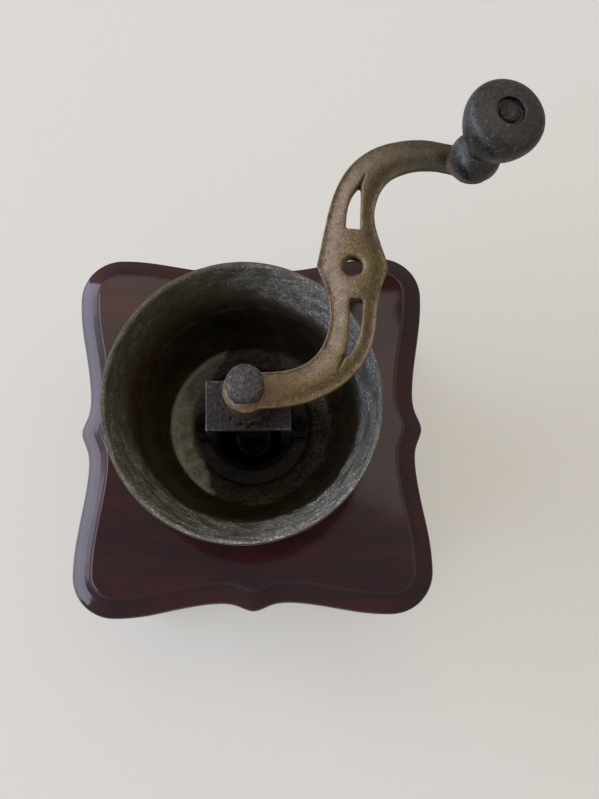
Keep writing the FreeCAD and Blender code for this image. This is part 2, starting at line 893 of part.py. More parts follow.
# Middle line of the arm: share of the crank radius along and to the left, and share of the widest half width
arm_line = (
    (0.000, 0.0000, 0.493),
    (0.060, -0.0618, 0.493),
    (0.120, -0.1059, 0.493),
    (0.200, -0.1338, 0.534),
    (0.325, -0.1147, 0.635),
    (0.410, -0.0522, 0.662),
    (0.465, -0.0007, 0.824),
    (0.497, 0.0335, 1.000),
    (0.565, 0.1044, 0.784),
    (0.622, 0.1537, 0.649),
    (0.700, 0.1949, 0.595),
    (0.790, 0.2044, 0.534),
    (0.870, 0.1721, 0.480),
    (0.930, 0.1191, 0.439),
    (1.000, 0.0110, 0.486),
)

# Openings between the rails, from the blunt end to the pointed end, in the same three measures
upper_opening = (
    (0.586, 0.1147, 0.205),
    (0.612, 0.1371, 0.200),
    (0.639, 0.1584, 0.183),
    (0.665, 0.1764, 0.150),
    (0.689, 0.1893, 0.091),
    (0.712, 0.1993, 0.000),
)
lower_opening = (
    (0.429, -0.0450, 0.185),
    (0.404, -0.0677, 0.183),
    (0.376, -0.0922, 0.167),
    (0.342, -0.1167, 0.141),
    (0.310, -0.1347, 0.106),
    (0.263, -0.1432, 0.000),
)


def shoulder_station():
    """Index of the widest station, where the arm has its two shoulder points."""
    return max(range(len(arm_line)), key=lambda index: arm_line[index][2])


def arm_point(along, aside):
    turn = Rotation(Vector(0, 0, 1), crank_angle)
    return turn.multVec(Vector(along * crank_radius, aside * crank_radius, 0))


def rail_points(stations, inset):
    """Left and right edge points of a band that follows the given stations."""
    middles = [arm_point(along, aside) for along, aside, half in stations]
    shoulder_turn = Rotation(Vector(0, 0, 1), shoulder_angle)
    left = []
    right = []
    for index, station in enumerate(stations):
        before = middles[max(index - 1, 0)]
        after = middles[min(index + 1, len(middles) - 1)]
        direction = (after - before).normalize()
        normal = Vector(-direction.y, direction.x, 0)
        if station == arm_line[shoulder_station()]:
            normal = shoulder_turn.multVec(normal)
        half = max(station[2] * arm_half_width - inset, 0)
        left.append(middles[index] + normal * half)
        right.append(middles[index] - normal * half)
    return left, right


def smooth(points):
    curve = Part.BSplineCurve()
    curve.interpolate(points)
    return curve.toShape()


def lifted(points, height):
    return [Vector(point.x, point.y, height) for point in points]


def arm_outline(inset, height):
    left, right = rail_points(arm_line, inset)
    left = lifted(left, height)
    right = lifted(right, height)
    turn = shoulder_station()
    return Part.Wire([
        smooth(left[:turn + 1]),
        smooth(left[turn:]),
        Part.makeLine(left[-1], right[-1]),
        smooth(right[turn:][::-1]),
        smooth(right[:turn + 1][::-1]),
        Part.makeLine(right[0], left[0]),
    ])


def arm_opening(stations):
    """Long opening with a blunt end and a pointed end, cut right through the arm."""
    left, right = rail_points(stations, 0)
    wire = Part.Wire([smooth(left), smooth(right[::-1]), Part.makeLine(right[0], left[0])])
    wire.translate(Vector(0, 0, arm_low - 1))
    return Part.Face(wire).extrude(Vector(0, 0, arm_thickness + 2))


def knob_place():
    """Frame of the knob: its axis leans outwards a little from the vertical."""
    foot = arm_point(1.0, 0)
    return Placement(Vector(foot.x, foot.y, hub_high), Rotation(Vector(0, 1, 0), knob_lean))


def on_knob_axis(shape):
    shape.Placement = knob_place()
    return shape


def crank_arm():
    """One casting: hub, S-shaped arm with its openings, and the boss under the knob."""
    top = hub_high
    ease = arm_edge * 0.3
    layers = (
        (arm_edge, arm_low), (ease, arm_low + ease), (0, arm_low + arm_edge),
        (0, top - arm_edge), (ease, top - ease), (arm_edge, top),
    )
    arm = Part.makeLoft([arm_outline(inset, height) for inset, height in layers], True, True)
    arm = arm.cut(arm_opening(upper_opening)).cut(arm_opening(lower_opening))
    eye = arm_point(*arm_line[shoulder_station()][:2])
    arm = arm.cut(rod(hole_radius, arm_low - 1, top + 1, eye.x, eye.y))
    hub = turned((0, hub_low), [
        [(hub_radius - edge_break, hub_low)],
        [(hub_radius, hub_low + edge_break)],
        [(hub_radius, top - edge_break)],
        [(hub_radius - edge_break, top)],
        [(0, top)],
    ])
    boss = on_knob_axis(turned((0, -boss_height), [
        [(boss_foot_radius - edge_break, -boss_height)],
        [(boss_foot_radius, edge_break - boss_height)],
        [(boss_radius, -edge_break)],
        [(boss_radius - edge_break, 0)],
        [(0, 0)],
    ]))
    over_boss = on_knob_axis(rod(boss_radius * 1.6, 0, boss_height))
    under_boss = on_knob_axis(rod(boss_radius * 1.6, -boss_height * 2, -boss_height))
    arm = arm.cut(over_boss).cut(under_boss).fuse(boss).fuse(hub)
    bore = flatted(crank_seat_radius + fit_play, crank_flat + fit_play, hub_low - 1, top + 1)
    pin_hole = on_knob_axis(rod(knob_pin_radius + fit_play, -boss_height - 1, 1))
    return arm.cut(bore).cut(pin_hole)


def cap_nut():
    """Round cap nut with a low dome and two spanner flats on its skirt."""
    top = hub_high + cap_height
    nut = turned((0, hub_high), [
        [(cap_radius, hub_high)],
        [(cap_radius, top - cap_dome - edge_break)],
        [(cap_radius - edge_break, top - cap_dome)],
        [(cap_radius * 0.6, top - cap_dome * 0.42), (cap_radius * 0.3, top - cap_dome * 0.1), (0, top)],
    ])
    skirt = cap_height * 0.45
    for side in (-1, 1):
        low_y, high_y = sorted((side * cap_flat, side * (cap_radius + 1)))
        nut = nut.cut(block(-cap_radius, cap_radius, low_y, high_y, hub_high - 1, hub_high + skirt))
    return nut.cut(rod(stud_radius + fit_play, hub_high - 1, hub_high + stud_length + cap_bore_play))


# Knob

def knob():
    """Turned knob: bead at the foot, narrow waist, ball and a recess for the pin's head."""
    waist_height = bead_height + neck_waist_rise
    neck_length = ball_equator - waist_height
    knob_shape = turned((0, face_play), [
        [(bead_radius * 0.82, face_play)],
        [
            (bead_radius * 0.97, bead_height * 0.18),
            (bead_radius, bead_height * 0.42),
            (bead_radius * 0.92, bead_height * 0.78),
            (bead_radius * 0.76, bead_height),
        ],
        [(neck_waist_radius, waist_height)],
        [
            (neck_waist_radius, waist_height + neck_length * 0.28),
            (ball_radius * 0.74, waist_height + neck_length * 0.44),
            (ball_radius * 0.893, waist_height + neck_length * 0.645),
            (ball_radius, ball_equator),
            (ball_radius * 0.9, ball_equator + knob_top_rise * 0.666),
            (knob_top_radius, knob_height),
        ],
        [(0, knob_height)],
    ])
    knob_shape = knob_shape.cut(rod(knob_pin_radius + running_play, -1, knob_height + 1))
    return on_knob_axis(knob_shape.cut(rod(recess_radius, knob_height - recess_depth, knob_height + 1)))


def knob_pin():
    """Shouldered pin riveted under the boss, with its head in the knob's recess."""
    seat = knob_height - recess_depth + face_play
    pin = turned((0, -boss_height - pin_tail_height), [
        [(pin_tail_radius * 0.7, -boss_height - pin_tail_height)],
        [(pin_tail_radius, -boss_height)],
        [(knob_pin_radius, -boss_height)],
        [(knob_pin_radius, seat)],
        [(pin_head_radius, seat)],
        [(pin_head_radius, seat + pin_head_height * 0.6)],
        [(pin_head_radius * 0.8, seat + pin_head_height)],
        [(0, seat + pin_head_height)],
    ])
    return on_knob_axis(pin)


pieces = {
    "felt_sheet": felt_sheet(),
    "base_board": base_board(),
    "base_screws": base_screws(),
    "left_wall": side_wall(-1),
    "right_wall": side_wall(1),
    "back_wall": back_wall(),
    "front_rail": front_rail(),
    "glue_blocks": glue_blocks(),
    "left_runner": drawer_runner(-1),
    "right_runner": drawer_runner(1),
    "top_board": top_board(),
    "hopper_bowl": hopper_bowl(),
    "hopper_screws": hopper_screws(),
    "burr_housing": burr_housing(),
    "housing_screws": housing_screws(),
    "outer_burr": outer_burr(),
    "bridge": bridge(),
    "bridge_screws": bridge_screws(),
    "upper_bush": upper_bush(),
    "lower_bracket": lower_bracket(),
    "bracket_screws": bracket_screws(),
    "lower_bush": lower_bush(),
    "adjusting_nut": adjusting_nut(),
    "lock_washer": lock_washer(),
    "shaft": shaft(),
    "inner_burr": inner_burr(),
    "burr_washer": burr_washer(),
    "burr_nut": burr_nut(),
    "spring": spring(),
    "spring_washer": spring_washer(),
    "spring_clip": spring_clip(),
    "crank_arm": crank_arm(),
    "cap_nut": cap_nut(),
    "knob_pin": knob_pin(),
    "knob": knob(),
    "drawer_front": drawer_front(),
    "drawer_left_side": drawer_side(-1),
    "drawer_right_side": drawer_side(1),
    "drawer_back": drawer_back_wall(),
    "drawer_bottom": drawer_bottom(),
    "drawer_knob": drawer_knob(),
    "drawer_knob_screw": drawer_knob_screw(),
}

for name, piece in pieces.items():
    piece.exportStep("parts/" + name + ".step")
    print(name, "solids", len(piece.Solids), "valid", piece.isValid(), "volume", round(piece.Volume, 1))
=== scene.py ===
import bmesh
import bpy
import json
import math
import numpy
from functools import partial
from mathutils import Matrix, Vector, kdtree
from types import SimpleNamespace


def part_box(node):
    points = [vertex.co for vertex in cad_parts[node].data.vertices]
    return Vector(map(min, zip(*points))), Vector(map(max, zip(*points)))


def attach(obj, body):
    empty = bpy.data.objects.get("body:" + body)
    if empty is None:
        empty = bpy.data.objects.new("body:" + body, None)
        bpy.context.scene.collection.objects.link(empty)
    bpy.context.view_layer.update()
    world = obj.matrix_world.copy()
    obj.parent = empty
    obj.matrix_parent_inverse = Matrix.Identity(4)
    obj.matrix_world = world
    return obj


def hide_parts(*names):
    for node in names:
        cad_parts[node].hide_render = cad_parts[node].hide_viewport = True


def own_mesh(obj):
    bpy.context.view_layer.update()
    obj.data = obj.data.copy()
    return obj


# Box coffee mill: scalloped lacquered boards, an open cast bowl and an S-shaped crank with a turned knob.
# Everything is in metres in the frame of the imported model; plain sizes in the dictionaries are millimetres.

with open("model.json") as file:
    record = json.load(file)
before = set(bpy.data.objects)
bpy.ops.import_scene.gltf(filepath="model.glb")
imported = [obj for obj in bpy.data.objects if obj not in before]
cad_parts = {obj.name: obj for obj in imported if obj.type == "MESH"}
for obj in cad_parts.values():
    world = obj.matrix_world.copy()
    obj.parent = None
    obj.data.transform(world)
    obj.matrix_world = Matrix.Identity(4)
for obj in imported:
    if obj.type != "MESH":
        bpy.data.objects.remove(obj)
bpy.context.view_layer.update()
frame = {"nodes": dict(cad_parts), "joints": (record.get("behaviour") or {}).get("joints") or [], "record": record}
scene = bpy.context.scene
print("frame loaded:", len(frame["nodes"]), "nodes")


def mm(size):
    return size / 1000.0


weld = mm(0.002)  # points of a mesh that are closer together than this are made one


def colour(hexCode):
    parts = [int(hexCode[index:index + 2], 16) / 255 for index in (1, 3, 5)]
    return (*[part / 12.92 if part <= 0.04045 else ((part + 0.055) / 1.055) ** 2.4 for part in parts], 1.0)


def plug(node, inputs):
    # inputs go by name or in the node's own order, and a node given as one stands for its first output in use
    for name, value in inputs.items() if isinstance(inputs, dict) else enumerate(inputs):
        if isinstance(value, bpy.types.Node):
            value = next(output for output in value.outputs if output.enabled)
        if isinstance(value, bpy.types.NodeSocket):
            node.id_data.links.new(value, node.inputs[name])
        else:
            node.inputs[name].default_value = value


def addNode(tree, kind, inputs=(), **settings):
    # a kind with no Node in its name is a shader node; add, below, is this function for one tree
    node = tree.nodes.new(kind if "Node" in kind else "ShaderNode" + kind)
    for name, value in settings.items():
        setattr(node, name, value)
    plug(node, inputs)
    return node


eased = {"interpolation_type": "SMOOTHSTEP"}  # for a MapRange, whose inputs are value, from low, high, to low, high


# Camera, light and floor

cameraView = {
    "place": (0.01394, -0.09113, 0.57477),
    "turn": (12.79, -0.88, -0.985),  # degrees, tipped a little from straight down
    "focalPixels": 991.6, "pictureHeight": 799, "sensorWidth": 36.0,
    "nearest": 0.01,  # metres from which on the camera sees
}

lamps = {
    # a wide low window on the left and a soft lamp high up at the back right
    "windowLight": {
        "place": (-3.0, 0.10, 1.42), "target": (0, 0, 0.11), "size": (5.0, 1.6), "watts": 232.0, "tint": "#dbe4ff"},
    "ceilingLight": {
        "place": (0.30, 0.62, 1.70), "target": (0, 0, 0.11), "size": (1.9, 0.95), "watts": 11.5, "tint": "#fff0e0"},
}

studio = {
    "worldStrength": 0.35, "worldTint": "#fff3e2", "pale": "#d9d6d3",
    "floorTint": "#d6d3cc", "floorPaleness": 0.55, "floorRoughness": 0.6, "floorShine": 0.2,
    "floorHalf": 25.0, "farFrom": 1.5, "farTo": 6.0,  # from here to there the floor fades into the pale background
}


def makeCamera():
    data = bpy.data.cameras.new("camera")
    data.sensor_width = cameraView["sensorWidth"]
    data.lens = cameraView["focalPixels"] / cameraView["pictureHeight"] * cameraView["sensorWidth"]
    data.clip_start = cameraView["nearest"]
    camera = bpy.data.objects.new("camera", data)
    scene.collection.objects.link(camera)
    camera.location = cameraView["place"]
    camera.rotation_euler = [math.radians(angle) for angle in cameraView["turn"]]
    scene.camera = camera


def makeLamps():
    for name, lampLook in lamps.items():
        data = bpy.data.lights.new(name, "AREA")
        data.shape = "RECTANGLE"
        data.size, data.size_y = lampLook["size"]
        data.energy = lampLook["watts"]
        data.color = colour(lampLook["tint"])[:3]
        lamp = bpy.data.objects.new(name, data)
        scene.collection.objects.link(lamp)
        lamp.location = lampLook["place"]
        lamp.rotation_euler = (Vector(lampLook["target"]) - lamp.location).to_track_quat("-Z", "Y").to_euler()


def makeWorld():
    world = bpy.data.worlds.new("studio")
    world.use_nodes = True
    scene.world = world
    world.node_tree.nodes.clear()
    add = partial(addNode, world.node_tree)
    seen = add("LightPath")
    either = seen.outputs["Is Camera Ray"]
    for ray in ("Is Glossy Ray", "Is Transmission Ray"):
        either = add("Math", [either, seen.outputs[ray]], operation="MAXIMUM")
    soft = add("Background", {"Color": colour(studio["worldTint"]), "Strength": studio["worldStrength"]})
    pale = add("Background", {"Color": colour(studio["pale"]), "Strength": 1.0})
    mixed = add("MixShader", [either, soft, pale])
    add("OutputWorld", {"Surface": mixed})


def makeFloor():
    half = studio["floorHalf"]
    mesh = bpy.data.meshes.new("floor")
    mesh.from_pydata([(-half, -half, 0), (half, -half, 0), (half, half, 0), (-half, half, 0)], [], [(0, 1, 2, 3)])
    floor = bpy.data.objects.new("floor", mesh)
    scene.collection.objects.link(floor)
    material = bpy.data.materials.new("paleFloor")
    material.use_nodes = True
    add = partial(addNode, material.node_tree)
    painted = material.node_tree.nodes["Principled BSDF"]
    plug(painted, {
        "Base Color": colour(studio["floorTint"]), "Roughness": studio["floorRoughness"],
        "Specular IOR Level": studio["floorShine"]})
    # part of what the camera sees is plain pale colour, so the object's shadow stays soft
    seen = add("LightPath")
    place = add("TexCoord").outputs["Object"]
    away = add("VectorMath", [place], operation="LENGTH")
    far = add("MapRange", [away, studio["farFrom"], studio["farTo"]], **eased)
    paleness = add("MapRange", [far, 0, 1, studio["floorPaleness"]])
    share = add("Math", [seen.outputs["Is Camera Ray"], paleness], operation="MULTIPLY")
    tint = add("Mix", {0: far, 6: colour(studio["floorTint"]), 7: colour(studio["pale"])}, data_type="RGBA")
    pale = add("Emission", {"Color": tint, "Strength": 1.0})
    mixed = add("MixShader", [share, painted, pale])
    plug(material.node_tree.nodes["Material Output"], {"Surface": mixed})
    mesh.materials.append(material)


makeCamera()
makeLamps()
makeWorld()
makeFloor()
scene.view_settings.view_transform = "Standard"
print("camera, light and floor made")


# Places read from the frame

joints = {joint["name"]: joint for joint in frame["joints"]}
knobFoot = Vector(joints["knob_spin"]["pos_m"])
knobAxis = Vector(joints["knob_spin"]["axis"])
knobLean = math.degrees(math.atan2(knobAxis.x, knobAxis.z))
bowlLow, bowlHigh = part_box("hopper_bowl")
springLow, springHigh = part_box("spring")

bowl = {
    "lipDrop": 22.0, "lipRadius": 47.5, "wall": 4.0,
    "rim": [(0.3, 2.2, 0.8), (0, 1.2, 0.8), (0.4, 0, 0.9), (2.2, 0.5, 0.8)],  # (in from its edge, down, rounding)
    "shoulderRadius": 37.0, "shoulderRise": 9.0, "shoulderInnerRise": 4.4,
    "neckRadius": 27.05, "footRadius": 51.0, "footThick": 3.6,
    "bellyShare": 0.62,  # where the wall bulges, between the shoulder (0) and the lip (1)
    "rimShift": (-2.1, 0.9), "rimOval": (-0.0143, 0.0083),  # the old rim has been knocked off centre and out of round
    "segments": 288, "curveSteps": 14, "cornerSteps": 5, "longestStep": 1.4,
    "grain": (2.2, 0.16), "dents": (16.0, 0.5), "seed": 3.0,
}
bowlLip = bowlHigh.z - mm(bowl["lipDrop"])


# What materials are made of

plainPattern = {
    # noise that repeats about every so many millimetres; stretch makes it longer along an axis, turn tips these axes,
    # and the noise from low to high becomes 0 to 1
    "every": 1.0, "stretch": (1, 1, 1), "turn": (0, 0, 0), "low": 0.35, "high": 0.65, "detail": 3.0, "rough": 0.55,
}


def startMaterial(name):
    material = bpy.data.materials.new(name)
    material.use_nodes = True
    add = partial(addNode, material.node_tree)
    return material, add, add("TexCoord").outputs["Object"]


def layPatterns(add, place, patterns):
    found = {}
    for name, given in patterns.items():
        look = {**plainPattern, **given}
        along = add("Mapping", {
            "Vector": place, "Scale": look["stretch"], "Rotation": [math.radians(angle) for angle in look["turn"]],
        }, vector_type="TEXTURE")
        noise = add("TexNoise", {
            "Vector": along, "Scale": 1 / mm(look["every"]), "Detail": look["detail"], "Roughness": look["rough"]})
        found[name] = add("MapRange", [noise, look["low"], look["high"]])
    return SimpleNamespace(**found)


def paint(add, ground, layers):
    # layers are (share, amount, colour), each laid over the ones before
    below = colour(ground) if isinstance(ground, str) else ground
    for share, amount, tint in layers:
        part = add("Math", [share, amount], operation="MULTIPLY")
        above = colour(tint) if isinstance(tint, str) else tint
        below = add("Mix", {0: part, 6: below, 7: above}, data_type="RGBA")
    return below


def relief(add, heights):
    # heights are (pattern, depth in millimetres, strength); a depth below zero cuts in
    bump = None
    for height, depth, strength in heights:
        under = {"Normal": bump} if bump else {}
        bump = add("Bump", {
            "Height": height, "Distance": mm(abs(depth)), "Strength": strength, **under}, invert=depth < 0)
    return bump


def surface(material, inputs):
    plug(material.node_tree.nodes["Principled BSDF"], inputs)
    return material


# Wood and felt

def lacqueredMahogany(name, lengthways):
    # Mahogany stained and dipped in gloss lacquer: dark red brown with soft grain under a smooth skin that mirrors.
    # Grain streaks 2.5 mm apart and 70 mm long, pores 0.5 mm, red clouds 16 mm, smears 22 mm, lacquer ripple 3 mm,
    # scuffs 1.6 mm.
    material, add, place = startMaterial(name)
    found = layPatterns(add, place, {
        "grain": {"every": 2.5, "stretch": lengthways, "low": 0.38, "high": 0.66, "detail": 4.0},
        "pores": {"every": 0.5, "stretch": lengthways, "low": 0.60, "high": 0.74, "detail": 2.0},
        "clouds": {"every": 16.0, "stretch": [max(1, size / 10) for size in lengthways], "low": 0.42, "high": 0.66},
        "smears": {"every": 22.0, "low": 0.35, "high": 0.75},
        "ripple": {"every": 3.0, "low": 0.2, "high": 0.8, "detail": 2.0},
        "scuffs": {
            "every": 1.6, "stretch": (6, 1, 1), "turn": (0, 0, 34), "low": 0.66, "high": 0.78, "detail": 5.0,
            "rough": 0.7}})
    base = paint(add, "#260e12", [
        (found.grain, 0.6, "#170a0d"), (found.clouds, 0.5, "#3f1613"), (found.pores, 0.4, "#0d0706"),
        (found.scuffs, 0.18, "#6b4a45")])
    return surface(material, {
        "Base Color": base, "Roughness": 0.5, "Specular IOR Level": 0.05,
        "Normal": relief(add, [(found.ripple, 0.02, 0.3), (found.pores, -0.03, 0.2)]),
        "Coat Weight": 0.66, "Coat Roughness": 0.10, "Coat IOR": 1.38,
        "Coat Normal": relief(add, [(found.smears, 0.10, 0.4), (found.ripple, 0.006, 0.3)])})


def plainBeech():
    # Planed beech, unfinished inside the box: pale brown with short flecks and coffee oil stains.
    # Flecks 1.2 mm wide and about 20 mm long, stains 26 mm.
    material, add, place = startMaterial("plainBeech")
    found = layPatterns(add, place, {
        "grain": {"every": 1.2, "stretch": (1, 18, 1), "low": 0.36, "high": 0.68, "detail": 4.0},
        "stain": {"every": 26.0, "low": 0.42, "high": 0.70}})
    base = paint(add, "#a98458", [(found.grain, 1.0, "#8a6740"), (found.stain, 0.6, "#5c4128")])
    dull = add("MapRange", [found.grain, 0, 1, 0.55, 0.72])
    return surface(material, {
        "Base Color": base, "Roughness": dull, "Specular IOR Level": 0.3,
        "Normal": relief(add, [(found.grain, 0.08, 0.4)])})


def blackTurnedWood(name, turn):
    # Turned hardwood under old black lacquer, worn matt: near black with pale rubbed specks, cool where it shines.
    # Turning lines 0.8 mm apart across the axis, cracks 2.4 mm apart along it, rubbed patches 3 mm, specks 0.8 mm.
    material, add, place = startMaterial(name)
    found = layPatterns(add, place, {
        "turning": {"every": 0.8, "stretch": (8, 8, 1), "turn": turn, "detail": 2.0},
        "cracks": {
            "every": 2.4, "stretch": (1, 1, 8), "turn": turn, "low": 0.62, "high": 0.68, "detail": 5.0, "rough": 0.6},
        "rubbed": {"every": 3.2, "low": 0.42, "high": 0.64, "detail": 5.0, "rough": 0.7},
        "specks": {"every": 0.8, "low": 0.53, "high": 0.68, "detail": 4.0, "rough": 0.75}})
    worn = add("Math", [found.specks, found.rubbed], operation="MULTIPLY")
    base = paint(add, "#030302", [
        (found.rubbed, 1.0, "#1b1815"), (worn, 0.9, "#6a625a"), (found.cracks, 0.8, "#040303")])
    dull = add("MapRange", [found.rubbed, 0, 1, 0.38, 0.58])
    return surface(material, {
        "Base Color": base, "Roughness": dull, "Specular IOR Level": 0.4,
        "Normal": relief(add, [(found.turning, 0.05, 0.35), (found.cracks, -0.2, 0.7), (found.rubbed, 0.2, 0.6)])})


def pressedFelt():
    # Pressed wool felt glued under the board: dull green black, matted fibres 0.6 mm.
    material, add, place = startMaterial("pressedFelt")
    found = layPatterns(add, place, {
        "fibres": {"every": 0.6, "low": 0.30, "high": 0.70, "detail": 5.0, "rough": 0.7}})
    return surface(material, {
        "Base Color": paint(add, "#141a15", [(found.fibres, 1.0, "#29332a")]), "Roughness": 0.95,
        "Normal": relief(add, [(found.fibres, 0.3, 0.7)]), "Specular IOR Level": 0.1, "Sheen Weight": 0.3})


# Metal

bowlWear = {
    # sides where the lip is painted darker as shade, where the pale crescent gets a painted highlight and where the
    # crank's shadow is painted on the lip
    "shaded": (-0.77, 0.64, 0), "crescentSheen": (-0.77, -0.64, 0), "crankShadow": (0.997, 0.07, 0),
    # how far the wall's dark reaches up the lip opposite the shaded side, beside it and on it, where it is painted
    # shade
    "creep": 0.8, "creepBeside": 6.5, "creepShaded": 21.0,  # how far it creeps opposite that side, beside it and on it
    "brightFrom": 1.4, "ragged": 2.4,  # metal shows from this far under the lip's bend, give or take
    "marksApart": 1.4, "marksLong": 9.0, "marksRadius": 50.0,
    "flangeHeight": 7.0, "flangeRadius": 40.0,  # the foot flange lies below and outside these
}
filmEdges = {
    # depths inward from a film's outer edge, and for the inner fade outward from its ragged inner one
    "ragged": 3.0, "innerFade": (0.5, 4.0), "outerFade": (-0.4, 0.3), "line": (2.4, 1.0),
}
paleFilms = {
    # pale crescents on the shoulder: the side of the shaft, the outer edge and the width there, and how
    # far off that side it begins and is at its widest
    "crescent": {"toward": (-0.996, 0.087, 0), "radius": 37.4, "width": 12.5, "begins": 0.34, "full": 0.8},
    "smear": {"toward": (0.566, 0.824, 0), "radius": 38.0, "width": 7.0, "begins": 0.968, "full": 0.995},
}


def aroundShaft(add, place, toward):
    # how squarely a point lies on one side of the shaft (1 on it, -1 opposite), its distance and its heading
    flat = add("VectorMath", [place, (1, 1, 0)], operation="MULTIPLY")
    reach = add("VectorMath", [flat], operation="LENGTH")
    heading = add("VectorMath", [flat], operation="NORMALIZE")
    facing = add("VectorMath", [heading, toward], operation="DOT_PRODUCT")
    return facing, reach, heading


def paleFilm(add, place, stains, film):
    # a pale film with a crisp outer edge and a ragged inner one, and a narrow brighter line along the outer one
    facing, reach, _ = aroundShaft(add, place, film["toward"])
    spread = add("MapRange", [facing, film["begins"], film["full"], 0, mm(film["width"])])
    ragged = add("Math", [stains, mm(filmEdges["ragged"]), spread], operation="MULTIPLY_ADD")
    inward = add("Math", [mm(film["radius"]), reach], operation="SUBTRACT")
    left = add("Math", [ragged, inward], operation="SUBTRACT")
    inner = add("MapRange", [left, *map(mm, filmEdges["innerFade"])], **eased)
    outer = add("MapRange", [inward, *map(mm, filmEdges["outerFade"])])
    covered = add("Math", [inner, outer], operation="MULTIPLY")
    line = add("MapRange", [inward, *map(mm, filmEdges["line"])])
    bright = add("Math", [covered, line], operation="MULTIPLY")
    return covered, bright


def oiledBowlIron():
    # Cast iron, turned inside on a lathe and darkened by coffee oil: olive black, with bright grit in broken rings on
    # the lip, a brown black varnish of old oil on the wall and a pale crescent on the shoulder. The lip is painted
    # darker as shade on the side away from the window, with painted glints among the grit, the crank's painted shadow
    # across it and a painted highlight at one end of the crescent.
    # Turning marks 1.4 mm apart and 9 mm long, grit and pits 1 mm, blotches 5 mm, stains 9 mm, varnish 24 mm,
    # foundry grain 2 mm.
    material, add, place = startMaterial("oiledBowlIron")
    found = layPatterns(add, place, {
        "stains": {"every": 9.0, "low": 0.38, "high": 0.66, "detail": 5.0, "rough": 0.65},
        "blotches": {"every": 5.0, "low": 0.42, "high": 0.62, "detail": 5.0, "rough": 0.7},
        "varnish": {"every": 24.0, "low": 0.44, "high": 0.60, "detail": 3.0},
        "grit": {"every": 1.0, "low": 0.50, "high": 0.62, "detail": 3.0, "rough": 0.7},
        "pits": {"every": 1.2, "low": 0.52, "high": 0.64, "detail": 4.0, "rough": 0.75},
        "sparks": {"every": 1.0, "low": 0.68, "high": 0.74, "detail": 1.0},
        "foundry": {"every": 2.0, "low": 0.3, "high": 0.7}})
    shaded, reach, heading = aroundShaft(add, place, bowlWear["shaded"])
    crescentSheen, _, _ = aroundShaft(add, place, bowlWear["crescentSheen"])
    crankShadow, _, _ = aroundShaft(add, place, bowlWear["crankShadow"])
    height = add("SeparateXYZ", [place]).outputs["Z"]
    onRing = add("VectorMath", {0: heading, "Scale": mm(bowlWear["marksRadius"])}, operation="SCALE")
    across = add("Math", [reach, bowlWear["marksLong"] / bowlWear["marksApart"]], operation="MULTIPLY")
    ringNoise = add("TexNoise", {
        "Vector": onRing, "W": across, "Scale": 1 / mm(bowlWear["marksLong"]), "Detail": 3.0, "Roughness": 0.6,
    }, noise_dimensions="4D")
    # the lip is painted darker olive on the side that faces away from the window: painted shade
    shadedSide = add("MapRange", [shaded, 0.2, 0.95])
    steady = add("MapRange", [shaded, -1.0, 0.0, mm(bowlWear["creep"]), mm(bowlWear["creepBeside"])])
    steep = add("Math", [shadedSide, 1.4], operation="POWER")
    more = mm(bowlWear["creepShaded"] - bowlWear["creepBeside"])
    creep = add("Math", [steep, more, steady], operation="MULTIPLY_ADD")
    ragged = add("Math", [found.stains, -mm(bowlWear["ragged"]), height], operation="MULTIPLY_ADD")
    aboveLip = add("Math", [ragged, bowlLip - mm(bowlWear["brightFrom"])], operation="SUBTRACT")
    share = add("Math", [aboveLip, creep], operation="DIVIDE")
    onLip = add("MapRange", [share, 0.0, 1.1], **eased)
    lathe = add("MapRange", [ringNoise, 0.40, 0.62])
    # fewer bright turning rings show where the lip has painted shade
    outOfShade = add("MapRange", [shaded, 0.05, 0.85, 1.0, 0.3])
    shown = add("Math", [outOfShade, onLip], operation="MULTIPLY")
    rings = add("Math", [lathe, shown], operation="MULTIPLY")
    grit = add("Math", [found.grit, rings], operation="MULTIPLY")
    # bright dots among the lip's rings: painted glints
    sparks = add("Math", [found.sparks, rings], operation="MULTIPLY")
    crescent, crescentEdge = paleFilm(add, place, found.stains, paleFilms["crescent"])
    smear, _ = paleFilm(add, place, found.stains, paleFilms["smear"])
    # the crescent is painted paler toward one end: painted highlight
    sheenOnCrescent = add("MapRange", [crescentSheen, 0.35, 0.97])
    normal = add("TexCoord").outputs["Normal"]
    outward = add("VectorMath", [heading, normal], operation="DOT_PRODUCT")
    outerFace = add("MapRange", [outward, 0.05, 0.30])
    # a darker band on the lip where the crank's shadow falls: painted shadow
    crankShadowBand = add("MapRange", [crankShadow, 0.76, 0.99], **eased)
    low = add("Math", [height, bowlLow.z + mm(bowlWear["flangeHeight"])], operation="LESS_THAN")
    wide = add("Math", [reach, mm(bowlWear["flangeRadius"])], operation="GREATER_THAN")
    flange = add("Math", [low, wide], operation="MULTIPLY")
    outside = add("Math", [outerFace, flange], operation="MAXIMUM")
    # the lip's colour, with painted shade on the side away from the window and the crank's painted shadow
    lip = paint(add, "#5a5850", [
        (shadedSide, 0.9, "#4c4733"), (found.stains, 0.55, "#2a281e"), (rings, 0.5, "#838277"),
        (found.blotches, 0.35, "#2a281e"), (grit, 0.7, "#c6c5ba"), (found.pits, 0.6, "#1f1d16"),
        (crankShadowBand, 0.5, "#2c2d29")])
    streaks = add("Math", [lathe, found.stains], operation="MULTIPLY")
    wall = paint(add, "#211c12", [
        (found.varnish, 0.65, "#2d1710"), (found.stains, 0.5, "#302b1a"), (streaks, 0.5, "#47432f")])
    # the crescent's tone, with a painted highlight toward one end
    crescentTone = paint(add, "#5c5c50", [
        (sheenOnCrescent, 0.8, "#a09e8f"), (found.blotches, 0.6, "#33332a"), (crescentEdge, 0.5, "#96958a"),
        (found.pits, 0.6, "#1f1d16")])
    bare = paint(add, "#35332a", [
        (found.stains, 0.7, "#1e1c15"), (found.varnish, 0.3, "#33241a"), (found.grit, 0.35, "#5d5c50")])
